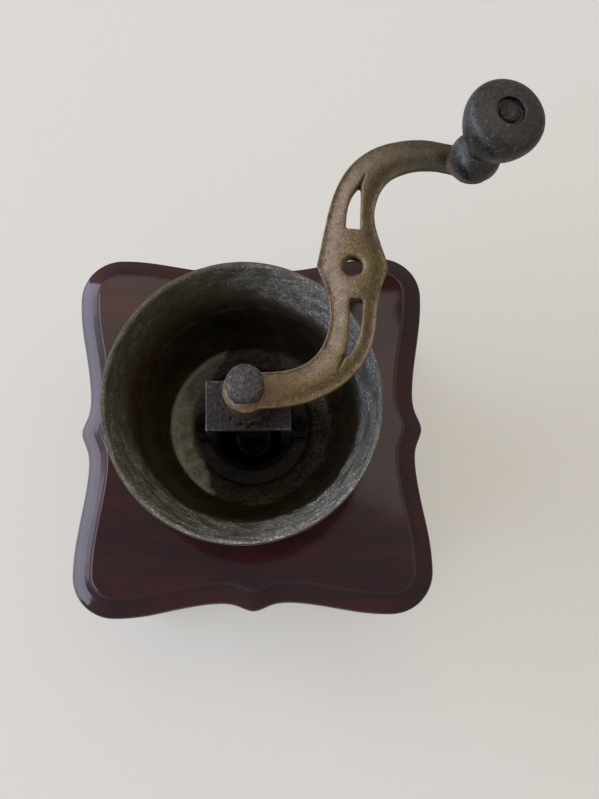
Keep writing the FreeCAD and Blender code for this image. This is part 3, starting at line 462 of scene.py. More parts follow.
    # the pale crescent, the lip and the painted glints laid over the wall
    base = paint(add, wall, [
        (crescent, 0.92, crescentTone), (smear, 0.55, crescentTone), (onLip, 1.0, lip), (sparks, 0.6, "#cfcec2"),
        (outside, 1.0, bare)])
    rough = add("Math", [onLip, outside], operation="MAXIMUM")
    dull = add("MapRange", [rough, 0, 1, 0.28, 0.50])
    return surface(material, {
        "Base Color": base, "Metallic": 0.25, "Roughness": dull, "Specular IOR Level": 0.45,
        "Normal": relief(add, [
            (rings, 0.22, 0.8), (grit, 0.22, 0.8), (found.pits, -0.15, 0.5), (found.foundry, 0.15, 0.35)])})


crankWear = {
    "blackFrom": 60.0, "blackAt": 14.0,  # distances from the knob between which the black film grows
    "rustFrom": 44.0, "rustAt": 10.0,    # and from the shaft for the rusty specks
    "grimeFrom": 2.6, "grimeAt": 5.0, "ragged": 1.5,  # depths under the top between which the sides get grimy
    # painted shade falls on faces turned this way, painted sheen on faces turned the other way
    "shadowedFacing": (0.94, -0.34, 0),
}


def antiqueBrass():
    # Sand-cast brass, never polished: brown patina, yellower where it is thin, with rusty specks near the shaft,
    # grime down its sides and a black film near the knob. Faces turned away from the window are painted darker and
    # yellower as shade, and faces turned toward it greyer as painted sheen.
    # Foundry grain 0.9 mm, patina clouds 11 mm, thin patches 15 mm, tarnish 4 mm, grime specks 1.4 mm, rust 1.1 mm.
    material, add, place = startMaterial("antiqueBrass")
    found = layPatterns(add, place, {
        "clouds": {"every": 11.0, "low": 0.36, "high": 0.66, "detail": 5.0, "rough": 0.65},
        "thin": {"every": 15.0, "low": 0.44, "high": 0.62, "detail": 4.0, "rough": 0.6},
        "tarnish": {"every": 4.0, "low": 0.46, "high": 0.66, "detail": 6.0, "rough": 0.7},
        "grain": {"every": 0.9, "detail": 3.0, "low": 0.42, "high": 0.66, "rough": 0.7},
        "grime": {"every": 1.4, "low": 0.55, "high": 0.68, "detail": 4.0, "rough": 0.7},
        "rust": {"every": 1.1, "low": 0.50, "high": 0.62, "detail": 5.0, "rough": 0.7}})
    height = add("SeparateXYZ", [place]).outputs["Z"]
    shape = add("NewGeometry").outputs["Pointiness"]
    edges = add("MapRange", [shape, 0.50, 0.57])
    pits = add("MapRange", [shape, 0.485, 0.44])
    toKnob = add("VectorMath", [place, knobFoot], operation="DISTANCE")
    handled = add("MapRange", [toKnob, mm(crankWear["blackFrom"]), mm(crankWear["blackAt"])], **eased)
    toShaft = add("VectorMath", [place, (0, 0, knobFoot.z)], operation="DISTANCE")
    nearShaft = add("MapRange", [toShaft, mm(crankWear["rustFrom"]), mm(crankWear["rustAt"])], **eased)
    rusty = add("Math", [found.rust, nearShaft], operation="MULTIPLY")
    ragged = add("Math", [found.tarnish, -mm(crankWear["ragged"]), height], operation="MULTIPLY_ADD")
    sides = add("MapRange", [
        ragged, knobFoot.z - mm(crankWear["grimeFrom"]), knobFoot.z - mm(crankWear["grimeAt"])], **eased)
    # faces turned away from the window are painted darker and yellower as shade, faces toward it greyer as painted
    # sheen
    facing = add("TexCoord").outputs["Normal"]
    sideways = add("VectorMath", [facing, crankWear["shadowedFacing"]], operation="DOT_PRODUCT")
    paintedShade = add("MapRange", [sideways, 0.02, 0.40])
    paintedSheen = add("MapRange", [sideways, -0.02, -0.35])
    base = paint(add, "#534025", [
        (found.clouds, 0.7, "#6a5642"), (found.thin, 0.7, "#594b18"), (paintedSheen, 0.6, "#776557"),
        (paintedShade, 0.6, "#3f330b"), (found.grain, 0.5, "#968256"), (found.tarnish, 0.38, "#2e2111"),
        (rusty, 0.6, "#7a4826"), (edges, 0.25, "#8f7d48"), (sides, 0.75, "#2a2118"), (handled, 0.85, "#332c16"),
        (found.grime, 0.7, "#231b11"), (pits, 0.7, "#231b11")])
    dull = add("MapRange", [found.clouds, 0, 1, 0.38, 0.50])
    return surface(material, {
        "Base Color": base, "Metallic": 0.38, "Roughness": dull, "Specular IOR Level": 0.65,
        "Normal": relief(add, [(found.grain, 0.26, 0.8), (found.tarnish, 0.30, 0.6)])})


def wornIron(name, look):
    # Bare iron that has been handled and oiled: dark grey with rubbed high spots, pits and a little dry rust.
    # Pits of the size that look gives, file strokes 0.8 mm apart, rust clouds 7 mm. Below the height that look gives
    # it is painted black as shade under the parts above, near the shaft darker as grime and painted shadow, and its
    # pointed edges pale as wear and painted glints.
    material, add, place = startMaterial(name)
    found = layPatterns(add, place, {
        "pits": {"every": look["pitSize"], "low": 0.42, "high": 0.64, "detail": 5.0, "rough": 0.7},
        "strokes": {"every": 0.8, "stretch": (7, 1, 1), "turn": (0, 0, 28), "low": 0.42, "high": 0.62, "detail": 4.0},
        "rust": {"every": 7.0, "low": 0.50, "high": 0.72, "detail": 4.0, "rough": 0.65}})
    _, reach, _ = aroundShaft(add, place, (1, 0, 0))
    crescent, _ = paleFilm(add, place, found.rust, paleFilms["crescent"])
    shape = add("NewGeometry").outputs["Pointiness"]
    edges = add("MapRange", [shape, 0.52, 0.57])
    height = add("SeparateXYZ", [place]).outputs["Z"]
    # below the height that look gives it is painted black: painted shade under the parts above
    shaded = add("MapRange", [height, look["shadedBelow"], look["shadedBelow"] - mm(look["shadeFade"])], **eased)
    # near the shaft it is painted darker: grime, and the painted shadow of the hub and crank above
    ragged = add("Math", [found.pits, mm(look["ragged"]), reach], operation="MULTIPLY_ADD")
    nearShaft = add("MapRange", [ragged, mm(look["grimeFrom"]), mm(look["grimeAt"])], **eased)
    # pointed edges and corners are painted pale: wear, and painted glints on the bridge's corners
    base = paint(add, look["dark"], [
        (found.pits, 1.0, look["light"]), (found.rust, 0.5, look["rust"]), (found.strokes, 0.4, look["dark"]),
        (edges, look["edgeWearAndGlints"], "#8f8b86"), (nearShaft, look["shaftGrimeAndShadow"], "#1d1510"), (shaded, 0.9, "#090706"),
        (crescent, look["paleFilm"], "#5a5748")])
    dull = add("MapRange", [found.pits, 0, 1, 0.62, 0.44])
    return surface(material, {
        "Base Color": base, "Metallic": 0.3, "Roughness": dull, "Specular IOR Level": look["shine"],
        "Normal": relief(add, [(found.pits, look["pitDepth"], 0.7), (found.strokes, -0.12, 0.5)])})


def turnedSteel(name, tint, oilTint, metallic, roughness):
    # Mild steel turned from bar: grey with fine rings round it and a brown film of old oil.
    # Tool marks 0.5 mm apart, film 5 mm.
    material, add, place = startMaterial(name)
    found = layPatterns(add, place, {
        "marks": {"every": 0.5, "stretch": (12, 12, 1), "detail": 2.0},
        "film": {"every": 5.0, "low": 0.40, "high": 0.70, "detail": 4.0}})
    dull = add("MapRange", [found.film, 0, 1, roughness, roughness + 0.2])
    return surface(material, {
        "Base Color": paint(add, tint, [(found.film, 1.0, oilTint)]), "Metallic": metallic,
        "Roughness": dull, "Specular IOR Level": 0.3, "Normal": relief(add, [(found.marks, 0.03, 0.4)])})


plainIron = {
    "edgeWearAndGlints": 0.0, "paleFilm": 0.0, "shadedBelow": 0.0, "shadeFade": 3.0,
    "shaftGrimeAndShadow": 0.0, "grimeFrom": 22.0, "grimeAt": 11.0, "ragged": 3.0,  # distances from the shaft
}
ironLooks = {
    "blackCastIron": {
        "light": "#2a251f", "dark": "#12100d", "rust": "#281c12", "pitSize": 1.6, "pitDepth": 0.25, "shine": 0.25,
        "paleFilm": 0.8},
    # the bridge: wear and painted glints on its corners, grime and painted shadow by the shaft, painted shade below
    "handledIron": {
        "light": "#413c3a", "dark": "#0f0d0c", "rust": "#2a1e18", "pitSize": 1.8, "pitDepth": 0.5, "shine": 0.35,
        "edgeWearAndGlints": 1.0, "shaftGrimeAndShadow": 0.8, "shadedBelow": 0.160},
    # painted black below the bridge's plate as shade, and pale edges as wear and painted glints
    "grimyIron": {
        "light": "#4c3b2a", "dark": "#15100c", "rust": "#3d2812", "pitSize": 1.0, "pitDepth": 0.4, "shine": 0.2,
        "edgeWearAndGlints": 0.25, "shadedBelow": 0.160},
    "hammeredIron": {
        "light": "#5a5350", "dark": "#262220", "rust": "#40332b", "pitSize": 1.3, "pitDepth": 0.35, "shine": 0.4,
        "edgeWearAndGlints": 0.5},
    "rivetIron": {
        "light": "#4a443f", "dark": "#171413", "rust": "#2c221b", "pitSize": 1.3, "pitDepth": 0.45, "shine": 0.35},
}
irons = {name: wornIron(name, {**plainIron, **look}) for name, look in ironLooks.items()}

materials = {
    "board_wood": lacqueredMahogany("boardMahogany", (28, 1, 1)),
    "box_wood": lacqueredMahogany("frontMahogany", (28, 1, 1)),
    "plain_wood": plainBeech(),
    "knob_wood": blackTurnedWood("crankKnobWood", (0, knobLean, 0)),
    "bowl_iron": oiledBowlIron(),
    "crank_bronze": antiqueBrass(),
    "cast_iron": irons["blackCastIron"],
    "bridge_iron": irons["handledIron"],
    "cap_iron": irons["hammeredIron"],
    "bronze": turnedSteel("sinteredBronze", "#7d6036", "#3a2b1a", metallic=0.9, roughness=0.42),
    "shaft_steel": turnedSteel("oilyShaftSteel", "#1f1c19", "#0d0b09", metallic=0.5, roughness=0.5),
    "burr_steel": turnedSteel("oilBlackBurrSteel", "#171411", "#0b0908", metallic=0.3, roughness=0.6),
    "spring_steel": turnedSteel("oilBlackSpringSteel", "#171412", "#0c0a08", metallic=0.4, roughness=0.5),
    "screw_steel": turnedSteel("plainScrewSteel", "#54504a", "#2e2822", metallic=0.9, roughness=0.40),
    "felt": pressedFelt(),
}
sideWood = lacqueredMahogany("sideMahogany", (1, 28, 1))
drawerKnobWood = blackTurnedWood("drawerKnobWood", (90, 0, 0))
ownMaterials = {
    "left_wall": sideWood, "right_wall": sideWood, "knob_pin": irons["rivetIron"],
    **dict.fromkeys(("bridge_screws", "spring_washer", "spring_clip", "upper_bush"), irons["grimyIron"]),
}
for part in frame["record"]["subparts"]:
    data = frame["nodes"][part["node"]].data
    data.materials.clear()
    data.materials.append(ownMaterials.get(part["node"], materials[part["material_slot"]]))
print("materials made:", len(bpy.data.materials))


# Making meshes

def newPiece(name, mesh):
    piece = bpy.data.objects.new(name, mesh)
    scene.collection.objects.link(piece)
    return piece


def startTree(name, sizes, others):
    # a tree with its inputs: sizes are plain numbers, others name the kind of their socket
    tree = bpy.data.node_groups.new(name, "GeometryNodeTree")
    sockets = {"Geometry": "Geometry", **dict.fromkeys(sizes, "Float"), **others, "Material": "Material"}
    for label, kind in sockets.items():
        tree.interface.new_socket(name=label, in_out="INPUT", socket_type="NodeSocket" + kind)
    tree.interface.new_socket(name="Geometry", in_out="OUTPUT", socket_type="NodeSocketGeometry")
    add = partial(addNode, tree)
    return add, add("NodeGroupInput").outputs


def endTree(add, shape, material):
    smooth = add("GeometryNodeSetShadeSmooth", {"Geometry": shape})
    real = add("GeometryNodeRealizeInstances", {"Geometry": smooth})
    done = add("GeometryNodeSetMaterial", {"Geometry": real, "Material": material})
    return add("NodeGroupOutput", [done]).id_data


def grow(piece, tree, values):
    modifier = piece.modifiers.new(tree.name, "NODES")
    modifier.node_group = tree
    keys = {item.name: item.identifier for item in tree.interface.items_tree if item.in_out == "INPUT"}
    for label, value in values.items():
        modifier[keys[label]] = value


def settle(piece):
    # makes what the modifiers give the piece's own mesh and takes them off
    view = bpy.context.evaluated_depsgraph_get()
    mesh = bpy.data.meshes.new_from_object(piece.evaluated_get(view))
    piece.modifiers.clear()
    piece.data = mesh


def tidied(mesh, turnOutward):
    form = bmesh.new()
    form.from_mesh(mesh)
    bmesh.ops.remove_doubles(form, verts=form.verts, dist=weld)
    if turnOutward:
        bmesh.ops.recalc_face_normals(form, faces=form.faces)
    form.to_mesh(mesh)
    form.free()
    mesh.update()


def finishPiece(piece, body, nodes):
    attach(piece, body)
    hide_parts(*nodes)
    print("piece made:", piece.name, len(piece.data.polygons), "faces")


def onCircle(add, angle, radius, height):
    # the place at this angle round the Z axis, this far from it and this high
    sides = []
    for operation in ("COSINE", "SINE"):
        wave = add("Math", [angle], operation=operation)
        sides.append(add("Math", [radius, wave], operation="MULTIPLY"))
    return add("CombineXYZ", [*sides, height])


def turnedTree():
    # turns a profile (x is the radius, z the height) round the Z axis; between two heights it drifts off centre and
    # grows out of round
    add, given = startTree(
        "turnedPiece", ["Oval X", "Oval Y", "Shift From", "Shift To"], {"Segments": "Int", "Shift": "Vector"})
    count = add("GeometryNodeAttributeDomainSize", {"Geometry": given["Geometry"]}).outputs["Point Count"]
    columns = add("FunctionNodeIntegerMath", [given["Segments"], 1], operation="ADD")
    grid = add("GeometryNodeMeshGrid", {"Vertices X": columns, "Vertices Y": count})
    index = add("GeometryNodeInputIndex")
    row = add("FunctionNodeIntegerMath", [index, count], operation="MODULO")
    column = add("FunctionNodeIntegerMath", [index, count], operation="DIVIDE")
    place = add("GeometryNodeInputPosition")
    sample = add("GeometryNodeSampleIndex", {
        "Geometry": given["Geometry"], "Value": place, "Index": row}, data_type="FLOAT_VECTOR", domain="POINT")
    point = add("SeparateXYZ", [sample])
    share = add("Math", [column, given["Segments"]], operation="DIVIDE")
    angle = add("Math", [share, math.tau], operation="MULTIPLY")
    lift = add("MapRange", [point.outputs["Z"], given["Shift From"], given["Shift To"]], **eased)
    sides = []
    for operation, oval in (("COSINE", "Oval X"), ("SINE", "Oval Y")):
        wave = add("Math", [angle], operation=operation)
        reach = add("Math", [point.outputs["X"], wave], operation="MULTIPLY")
        extra = add("Math", [given[oval], lift], operation="MULTIPLY")
        sides.append(add("Math", [reach, extra, reach], operation="MULTIPLY_ADD"))
    centred = add("CombineXYZ", [*sides, point.outputs["Z"]])
    shift = add("VectorMath", {0: given["Shift"], "Scale": lift}, operation="SCALE")
    target = add("VectorMath", [centred, shift], operation="ADD")
    formed = add("GeometryNodeSetPosition", {"Geometry": grid, "Position": target})
    joined = add("GeometryNodeMergeByDistance", {"Geometry": formed, "Distance": weld})
    return endTree(add, joined, given["Material"])


def castTree():
    # pushes a surface in and out along its normals by two sizes of noise, as sand casting or hammering leaves it
    add, given = startTree("castSkin", ["Grain Size", "Grain Depth", "Dent Size", "Dent Depth", "Seed"], {})
    place = add("GeometryNodeInputPosition")
    normal = add("GeometryNodeInputNormal")
    heights = []
    for size, depth in (("Grain Size", "Grain Depth"), ("Dent Size", "Dent Depth")):
        scale = add("Math", [1.0, given[size]], operation="DIVIDE")
        noise = add("TexNoise", {
            "Vector": place, "W": given["Seed"], "Scale": scale, "Detail": 2.0}, noise_dimensions="4D")
        centred = add("Math", [noise, 0.5], operation="SUBTRACT")
        heights.append(add("Math", [centred, given[depth]], operation="MULTIPLY"))
    height = add("Math", heights, operation="ADD")
    push = add("VectorMath", {0: normal, "Scale": height}, operation="SCALE")
    moved = add("GeometryNodeSetPosition", {"Geometry": given["Geometry"], "Offset": push})
    return endTree(add, moved, given["Material"])


def ringTree():
    # sets copies of the given screw round a circle, each turned by chance as a screwdriver leaves it
    add, given = startTree("screwRing", ["Radius", "First Angle", "Height"], {"Count": "Int", "Seed": "Int"})
    index = add("GeometryNodeInputIndex")
    share = add("Math", [index, given["Count"]], operation="DIVIDE")
    angle = add("Math", [share, math.tau, given["First Angle"]], operation="MULTIPLY_ADD")
    place = onCircle(add, angle, given["Radius"], given["Height"])
    points = add("GeometryNodePoints", {"Count": given["Count"], "Position": place})
    chance = add("FunctionNodeRandomValue", {2: 0.0, 3: math.pi, "Seed": given["Seed"]}, data_type="FLOAT")
    turn = add("CombineXYZ", {2: chance})
    screws = add("GeometryNodeInstanceOnPoints", {"Points": points, "Instance": given["Geometry"], "Rotation": turn})
    return endTree(add, screws, given["Material"])


def coilTree():
    # winds a round wire from one height to another; its first and last tenth lie flat as closed ends
    add, given = startTree(
        "coilSpring", ["Turns", "Coil Radius", "Wire Radius", "Low", "High"], {"Steps": "Int", "Wire Sides": "Int"})
    index = add("GeometryNodeInputIndex")
    share = add("Math", [index, given["Steps"]], operation="DIVIDE")
    oneTurn = add("Math", [share, math.tau], operation="MULTIPLY")
    angle = add("Math", [oneTurn, given["Turns"]], operation="MULTIPLY")
    low = add("Math", [given["Low"], given["Wire Radius"]], operation="ADD")
    high = add("Math", [given["High"], given["Wire Radius"]], operation="SUBTRACT")
    rise = add("MapRange", [share, 0.10, 0.90, low, high])
    place = onCircle(add, angle, given["Coil Radius"], rise)
    line = add("GeometryNodeMeshLine", {"Count": given["Steps"]})
    bent = add("GeometryNodeSetPosition", {"Geometry": line, "Position": place})
    curve = add("GeometryNodeMeshToCurve", [bent])
    wire = add("GeometryNodeCurvePrimitiveCircle", {
        "Resolution": given["Wire Sides"], "Radius": given["Wire Radius"]})
    coil = add("GeometryNodeCurveToMesh", {"Curve": curve, "Profile Curve": wire, "Fill Caps": True})
    return endTree(add, coil, given["Material"])


turned = turnedTree()
castSkin = castTree()
screwRing = ringTree()
coilSpring = coilTree()


def smoothRun(points, steps):
    # a smooth (Catmull-Rom) line through the given points, with so many steps between two of them
    found = []
    for index in range(len(points) - 1):
        before = Vector(points[max(index - 1, 0)])
        start = Vector(points[index])
        stop = Vector(points[index + 1])
        after = Vector(points[min(index + 2, len(points) - 1)])
        for step in range(steps):
            t = step / steps
            found.append(0.5 * (
                2 * start + (stop - before) * t + (2 * before - 5 * start + 4 * stop - after) * t * t
                + (3 * start - before - 3 * stop + after) * t ** 3))
    return [(point.x, point.y, 0) for point in found + [Vector(points[-1])]]


roomForRounding = 0.45  # the share of a straight run that the rounding of one of its ends may take


def roundedPath(corners, steps, longest):
    # corners are (radius, height, rounding); straight runs are divided so that no step is longer than given
    path = []
    for index, (radius, height, rounding) in enumerate(corners):
        here = Vector((radius, height))
        if rounding == 0 or index in (0, len(corners) - 1):
            path.append(here)
            continue
        back = Vector(corners[index - 1][:2]) - here
        ahead = Vector(corners[index + 1][:2]) - here
        trim = min(rounding, back.length * roomForRounding, ahead.length * roomForRounding)
        first = here + back.normalized() * trim
        last = here + ahead.normalized() * trim
        for step in range(steps + 1):
            t = step / steps
            path.append(first * (1 - t) ** 2 + here * 2 * t * (1 - t) + last * t ** 2)
    divided = [path[0]]
    for point in path[1:]:
        start = divided[-1]
        run = point - start
        pieces = max(1, math.ceil(run.length / longest))
        divided += [start + run * (step + 1) / pieces for step in range(pieces)]
    return divided


def turnedPiece(name, corners, look, settings, lift=0):
    # lift is the height of the corners' zero; Shift To is never zero, so that the drift always has a range
    mesh = bpy.data.meshes.new(name)
    path = roundedPath(corners, look["cornerSteps"], look["longestStep"])
    points = [(mm(point.x), 0, mm(point.y) + lift) for point in path]
    mesh.from_pydata(points, [(index, index + 1) for index in range(len(points) - 1)], [])
    piece = newPiece(name, mesh)
    grow(piece, turned, {"Segments": look["segments"], "Shift To": 1.0, **settings})
    settle(piece)
    tidied(piece.data, True)
    return piece


def roughen(piece, look, material):
    # gives a piece the uneven skin that its casting, hammering or wear left
    grow(piece, castSkin, {
        "Grain Size": mm(look["grain"][0]), "Grain Depth": mm(look["grain"][1]), "Dent Size": mm(look["dents"][0]),
        "Dent Depth": mm(look["dents"][1]), "Seed": look["seed"], "Material": material})
    settle(piece)


# Bowl

def makeBowl():
    # corners are (radius, height over the bowl's foot, rounding): out from the neck, up the outside, down the inside
    high = (bowlHigh.z - bowlLow.z) * 1000
    rim = bowlHigh.y * 1000
    lip, lipRadius = high - bowl["lipDrop"], bowl["lipRadius"]
    wall, shoulder, rise, neck = bowl["wall"], bowl["shoulderRadius"], bowl["shoulderRise"], bowl["neckRadius"]
    foot, footThick, neckRise = bowl["footRadius"], bowl["footThick"], bowl["shoulderInnerRise"]
    share = bowl["bellyShare"]
    belly = share * lipRadius + (1 - share) * shoulder
    bellyHeight = share * rise + (1 - share) * lip
    steps = bowl["curveSteps"]
    corners = [(neck, 0, 0), (foot, 0, 0.6), (foot, footThick, 1.0), (shoulder + wall + 1, footThick, 2.0)]
    corners += smoothRun([(shoulder + wall, rise), (belly + wall, bellyHeight), (lipRadius + wall * 0.9, lip)], steps)
    corners += [(rim - inward, high - down, rounding) for inward, down, rounding in bowl["rim"]]
    corners += [(lipRadius + 0.5, lip + 0.2, 0.9)]
    corners += smoothRun([(lipRadius - 0.3, lip - 1), (belly, bellyHeight), (shoulder, rise)], steps)
    corners += [(neck + 1.4, neckRise + 0.2, 1.4), (neck, neckRise - 1.2, 0), (neck, 0, 0)]
    piece = turnedPiece("castBowl", corners, bowl, {
        "Shift": (*map(mm, bowl["rimShift"]), 0), "Oval X": bowl["rimOval"][0], "Oval Y": bowl["rimOval"][1],
        "Shift From": bowlLip, "Shift To": bowlHigh.z, "Material": materials["bowl_iron"]}, bowlLow.z)
    roughen(piece, bowl, materials["bowl_iron"])
    finishPiece(piece, "case", ["hopper_bowl"])


# Castings copied from the frame and given a foundry's soft edges

def makeCasting(name, look, shape=None):
    mesh = frame["nodes"][look["node"]].data.copy()
    mesh.name = name
    tidied(mesh, False)
    piece = newPiece(name, mesh)
    remesh = piece.modifiers.new("voxels", "REMESH")
    remesh.mode = "VOXEL"
    remesh.voxel_size = mm(look["voxel"])
    smooth = piece.modifiers.new("rounding", "SMOOTH")
    smooth.factor = 0.5
    smooth.iterations = look["roundingPasses"]
    settle(piece)
    if shape:
        shape(piece)
    roughen(piece, look, look["material"])
    finishPiece(piece, look["body"], [look["node"]])


def topEdges(node, height):
    # the outlines of the node's flat top, each as points close together, the longest outline first
    level, upright, spacing = mm(0.02), 0.99, mm(0.5)
    form = bmesh.new()
    form.from_mesh(frame["nodes"][node].data)
    bmesh.ops.remove_doubles(form, verts=form.verts, dist=weld)
    rim = {
        edge for edge in form.edges
        if len(edge.link_faces) == 2 and all(abs(vert.co.z - height) < level for vert in edge.verts)
        and any(abs(face.normal.z) < upright for face in edge.link_faces)
    }
    outlines = []
    while rim:
        waiting = [rim.pop()]
        points = []
        while waiting:
            edge = waiting.pop()
            first, last = edge.verts[0].co, edge.verts[1].co
            pieces = max(1, math.ceil((last - first).length / spacing))
            points += [first.lerp(last, step / pieces) for step in range(pieces)]
            joined = {other for vert in edge.verts for other in vert.link_edges if other in rim}
            rim -= joined
            waiting += joined
        outlines.append(points)
    form.free()
    return sorted(outlines, key=len, reverse=True)


def nearestTree(points):
    tree = kdtree.KDTree(len(points))
    for index, point in enumerate(points):
        tree.insert((point.x, point.y, 0), index)
    tree.balance()
    return tree


crankCasting = {
    "node": "crank_arm", "body": "spindle", "slot": "crank_bronze", "material": materials["crank_bronze"],
    "voxel": 0.45, "roundingPasses": 16, "grain": (1.6, 0.14), "dents": (9.0, 0.5), "seed": 1.0,
    "topBand": 5.5,  # the top may sink this far down the sides
    "crown": 4.0,    # the middle of the arm stands this far above its edges
    "openingDrop": 0.6, "openingReach": 2.6,  # and its rails fall away a little beside the openings
    "widthPasses": 45, "widthFall": 0.1,      # steps by which its half width is carried out, and the fall at each
    "softening": 30,                          # passes that spread width and drop over their neighbours
    "grooveDepth": 1.7, "grooveHalf": 0.7, "grooveFlare": 0.1, "grooveTaper": 0.6, "grooveSteps": 8,
    "grooves": [
        [(48.1, 86.2), (48.7, 87.6), (49.5, 89.3), (50.4, 91.4)],
        [(39.6, 13.2), (38.8, 11.6), (37.9, 9.6), (36.8, 7.0)],
    ],
}


def spreadOver(ends, values, passes):
    # evens values out along the edges of a mesh
    count = numpy.bincount(ends.ravel(), minlength=len(values))
    for _ in range(passes):
        around = numpy.bincount(ends[:, 0], weights=values[ends[:, 1]], minlength=len(values))
        around += numpy.bincount(ends[:, 1], weights=values[ends[:, 0]], minlength=len(values))
        values = 0.5 * values + 0.5 * around / count
    return values


def crownArm(piece):
    # crowns the arm's flat top, lowers it beside the openings and cuts the grooves
    top = knobFoot.z
    outlines = topEdges("crank_arm", top)
    outer = nearestTree(outlines[0])
    openings = nearestTree([point for outline in outlines[1:] for point in outline])
    vertices = piece.data.vertices
    ends = numpy.array([edge.vertices[:] for edge in piece.data.edges])
    inset = numpy.zeros(len(vertices))
    beside = numpy.zeros(len(vertices))
    for index, vertex in enumerate(vertices):
        flat = Vector((vertex.co.x, vertex.co.y, 0))
        inset[index] = outer.find(flat)[2]
        beside[index] = max(0.0, 1 - openings.find(flat)[2] / mm(crankCasting["openingReach"]))
    # half the arm's width at each point: the inset at the middle of the arm, carried out to its edges
    halfWidth = inset.copy()
    fall = mm(crankCasting["widthFall"])
    for _ in range(crankCasting["widthPasses"]):
        handed = halfWidth.copy()
        numpy.maximum.at(handed, ends[:, 0], halfWidth[ends[:, 1]] - fall)
        numpy.maximum.at(handed, ends[:, 1], halfWidth[ends[:, 0]] - fall)
        halfWidth = handed
    outward = 1 - inset / spreadOver(ends, halfWidth, crankCasting["softening"])
    sinks = mm(crankCasting["crown"]) * numpy.clip(outward, 0, 1) ** 2 + mm(crankCasting["openingDrop"]) * beside ** 2
    sinks = spreadOver(ends, sinks, crankCasting["softening"])
    for line in crankCasting["grooves"]:
        points = [Vector((mm(x), mm(y), 0)) for x, y, _ in smoothRun(line, crankCasting["grooveSteps"])]
        for index, vertex in enumerate(vertices):
            flat = Vector((vertex.co.x, vertex.co.y, 0))
            away, at = min(((flat - point).length, at) for at, point in enumerate(points))
            strength = 1 - at / len(points)
            half = mm(crankCasting["grooveHalf"] + crankCasting["grooveFlare"] * strength)
            if away < half:
                deepest = mm(crankCasting["grooveDepth"]) * strength ** crankCasting["grooveTaper"]
                sinks[index] += deepest * (1 - (away / half) ** 2)
    for index, vertex in enumerate(vertices):
        fade = min(1.0, max(0.0, 1 - (top - vertex.co.z) / mm(crankCasting["topBand"])))
        vertex.co.z -= sinks[index] * fade


capNut = {
    "node": "cap_nut", "body": "spindle", "slot": "cap_iron", "material": materials["cap_iron"],
    "voxel": 0.22, "roundingPasses": 4, "grain": (1.1, 0.28), "dents": (4.0, 0.4), "seed": 1.0,
}
bridgeStrap = {
    "node": "bridge", "body": "case", "slot": "bridge_iron", "material": materials["bridge_iron"],
    "voxel": 0.35, "roundingPasses": 3, "grain": (1.4, 0.18), "dents": (6.0, 0.4), "seed": 1.0,
}
notchedNut = {
    "node": "adjusting_nut", "body": "adjuster", "slot": "bridge_iron", "material": irons["grimyIron"],
    "voxel": 0.25, "roundingPasses": 5, "grain": (1.2, 0.24), "dents": (3.5, 0.4), "seed": 1.0,
}
keyedWasher = {
    "node": "lock_washer", "body": "lock", "slot": "screw_steel", "material": irons["grimyIron"],
    "voxel": 0.2, "roundingPasses": 2, "grain": (1.2, 0.1), "dents": (4.0, 0.1), "seed": 1.0,
}


# Screws and spring

plainScrew = {
    "slotWidth": 0.9, "slotDepth": 1.0, "cutterHeight": 4.0, "seed": 4, "segments": 48, "curveSteps": 6,
    "cornerSteps": 3, "longestStep": 2.0, "edge": 0.35,
    "tip": 1.5,                           # length of the point in radii of the shank
    "dome": [(0.8, 0.70), (0.42, 0.94)],  # shares of the head's radius and height
}
hopperScrews = {
    **plainScrew, "node": "hopper_screws", "count": 4, "firstAngle": 45, "headRadius": 3.8, "headHeight": 2.2,
    "shankRadius": 1.9, "length": 14.0, "material": materials["screw_steel"],
}
bridgeScrews = {
    **plainScrew, "node": "bridge_screws", "count": 2, "firstAngle": 0, "headRadius": 3.6, "headHeight": 2.4,
    "shankRadius": 2.0, "length": 12.0, "material": irons["grimyIron"],
}


def makeScrews(name, look):
    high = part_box(look["node"])[1]
    head, rise, shank, length = look["headRadius"], look["headHeight"], look["shankRadius"], look["length"]
    corners = [(0, -length, 0), (shank, shank * look["tip"] - length, 0.3), (shank, 0, 0)]
    corners += [(head, 0, 0.2), (head, look["edge"], 0.3)]
    dome = [(head * wide, rise * tall) for wide, tall in look["dome"]]
    corners += smoothRun([(head * 0.97, 0.45), *dome, (0.01, rise)], look["curveSteps"]) + [(0, rise, 0)]
    piece = turnedPiece(name, corners, look, {"Material": look["material"]})
    cutterMesh = bpy.data.meshes.new("slotCutter")
    form = bmesh.new()
    bmesh.ops.create_cube(form, size=1.0)
    size = (mm(head * 3), mm(look["slotWidth"]), mm(look["cutterHeight"]))
    bmesh.ops.scale(form, verts=form.verts, vec=size)
    middle = (0, 0, mm(rise - look["slotDepth"] + look["cutterHeight"] / 2))
    bmesh.ops.translate(form, verts=form.verts, vec=middle)
    form.to_mesh(cutterMesh)
    form.free()
    cutter = newPiece("slotCutter", cutterMesh)
    slotCut = piece.modifiers.new("slot", "BOOLEAN")
    slotCut.object = cutter
    settle(piece)
    bpy.data.objects.remove(cutter)
    angle = math.radians(look["firstAngle"])
    radius = (high.x - mm(head)) / math.cos(angle)
    grow(piece, screwRing, {
        "Count": look["count"], "Radius": radius, "First Angle": angle, "Height": high.z - mm(rise),
        "Seed": look["seed"], "Material": look["material"]})
    settle(piece)
    finishPiece(piece, "case", [look["node"]])


returnSpring = {
    "turns": 6.0, "coilRadius": 6.6, "wireRadius": 0.7, "wireSides": 12, "steps": 260,
    "lift": 1.5,  # by so much the rising spindle shortens it
}


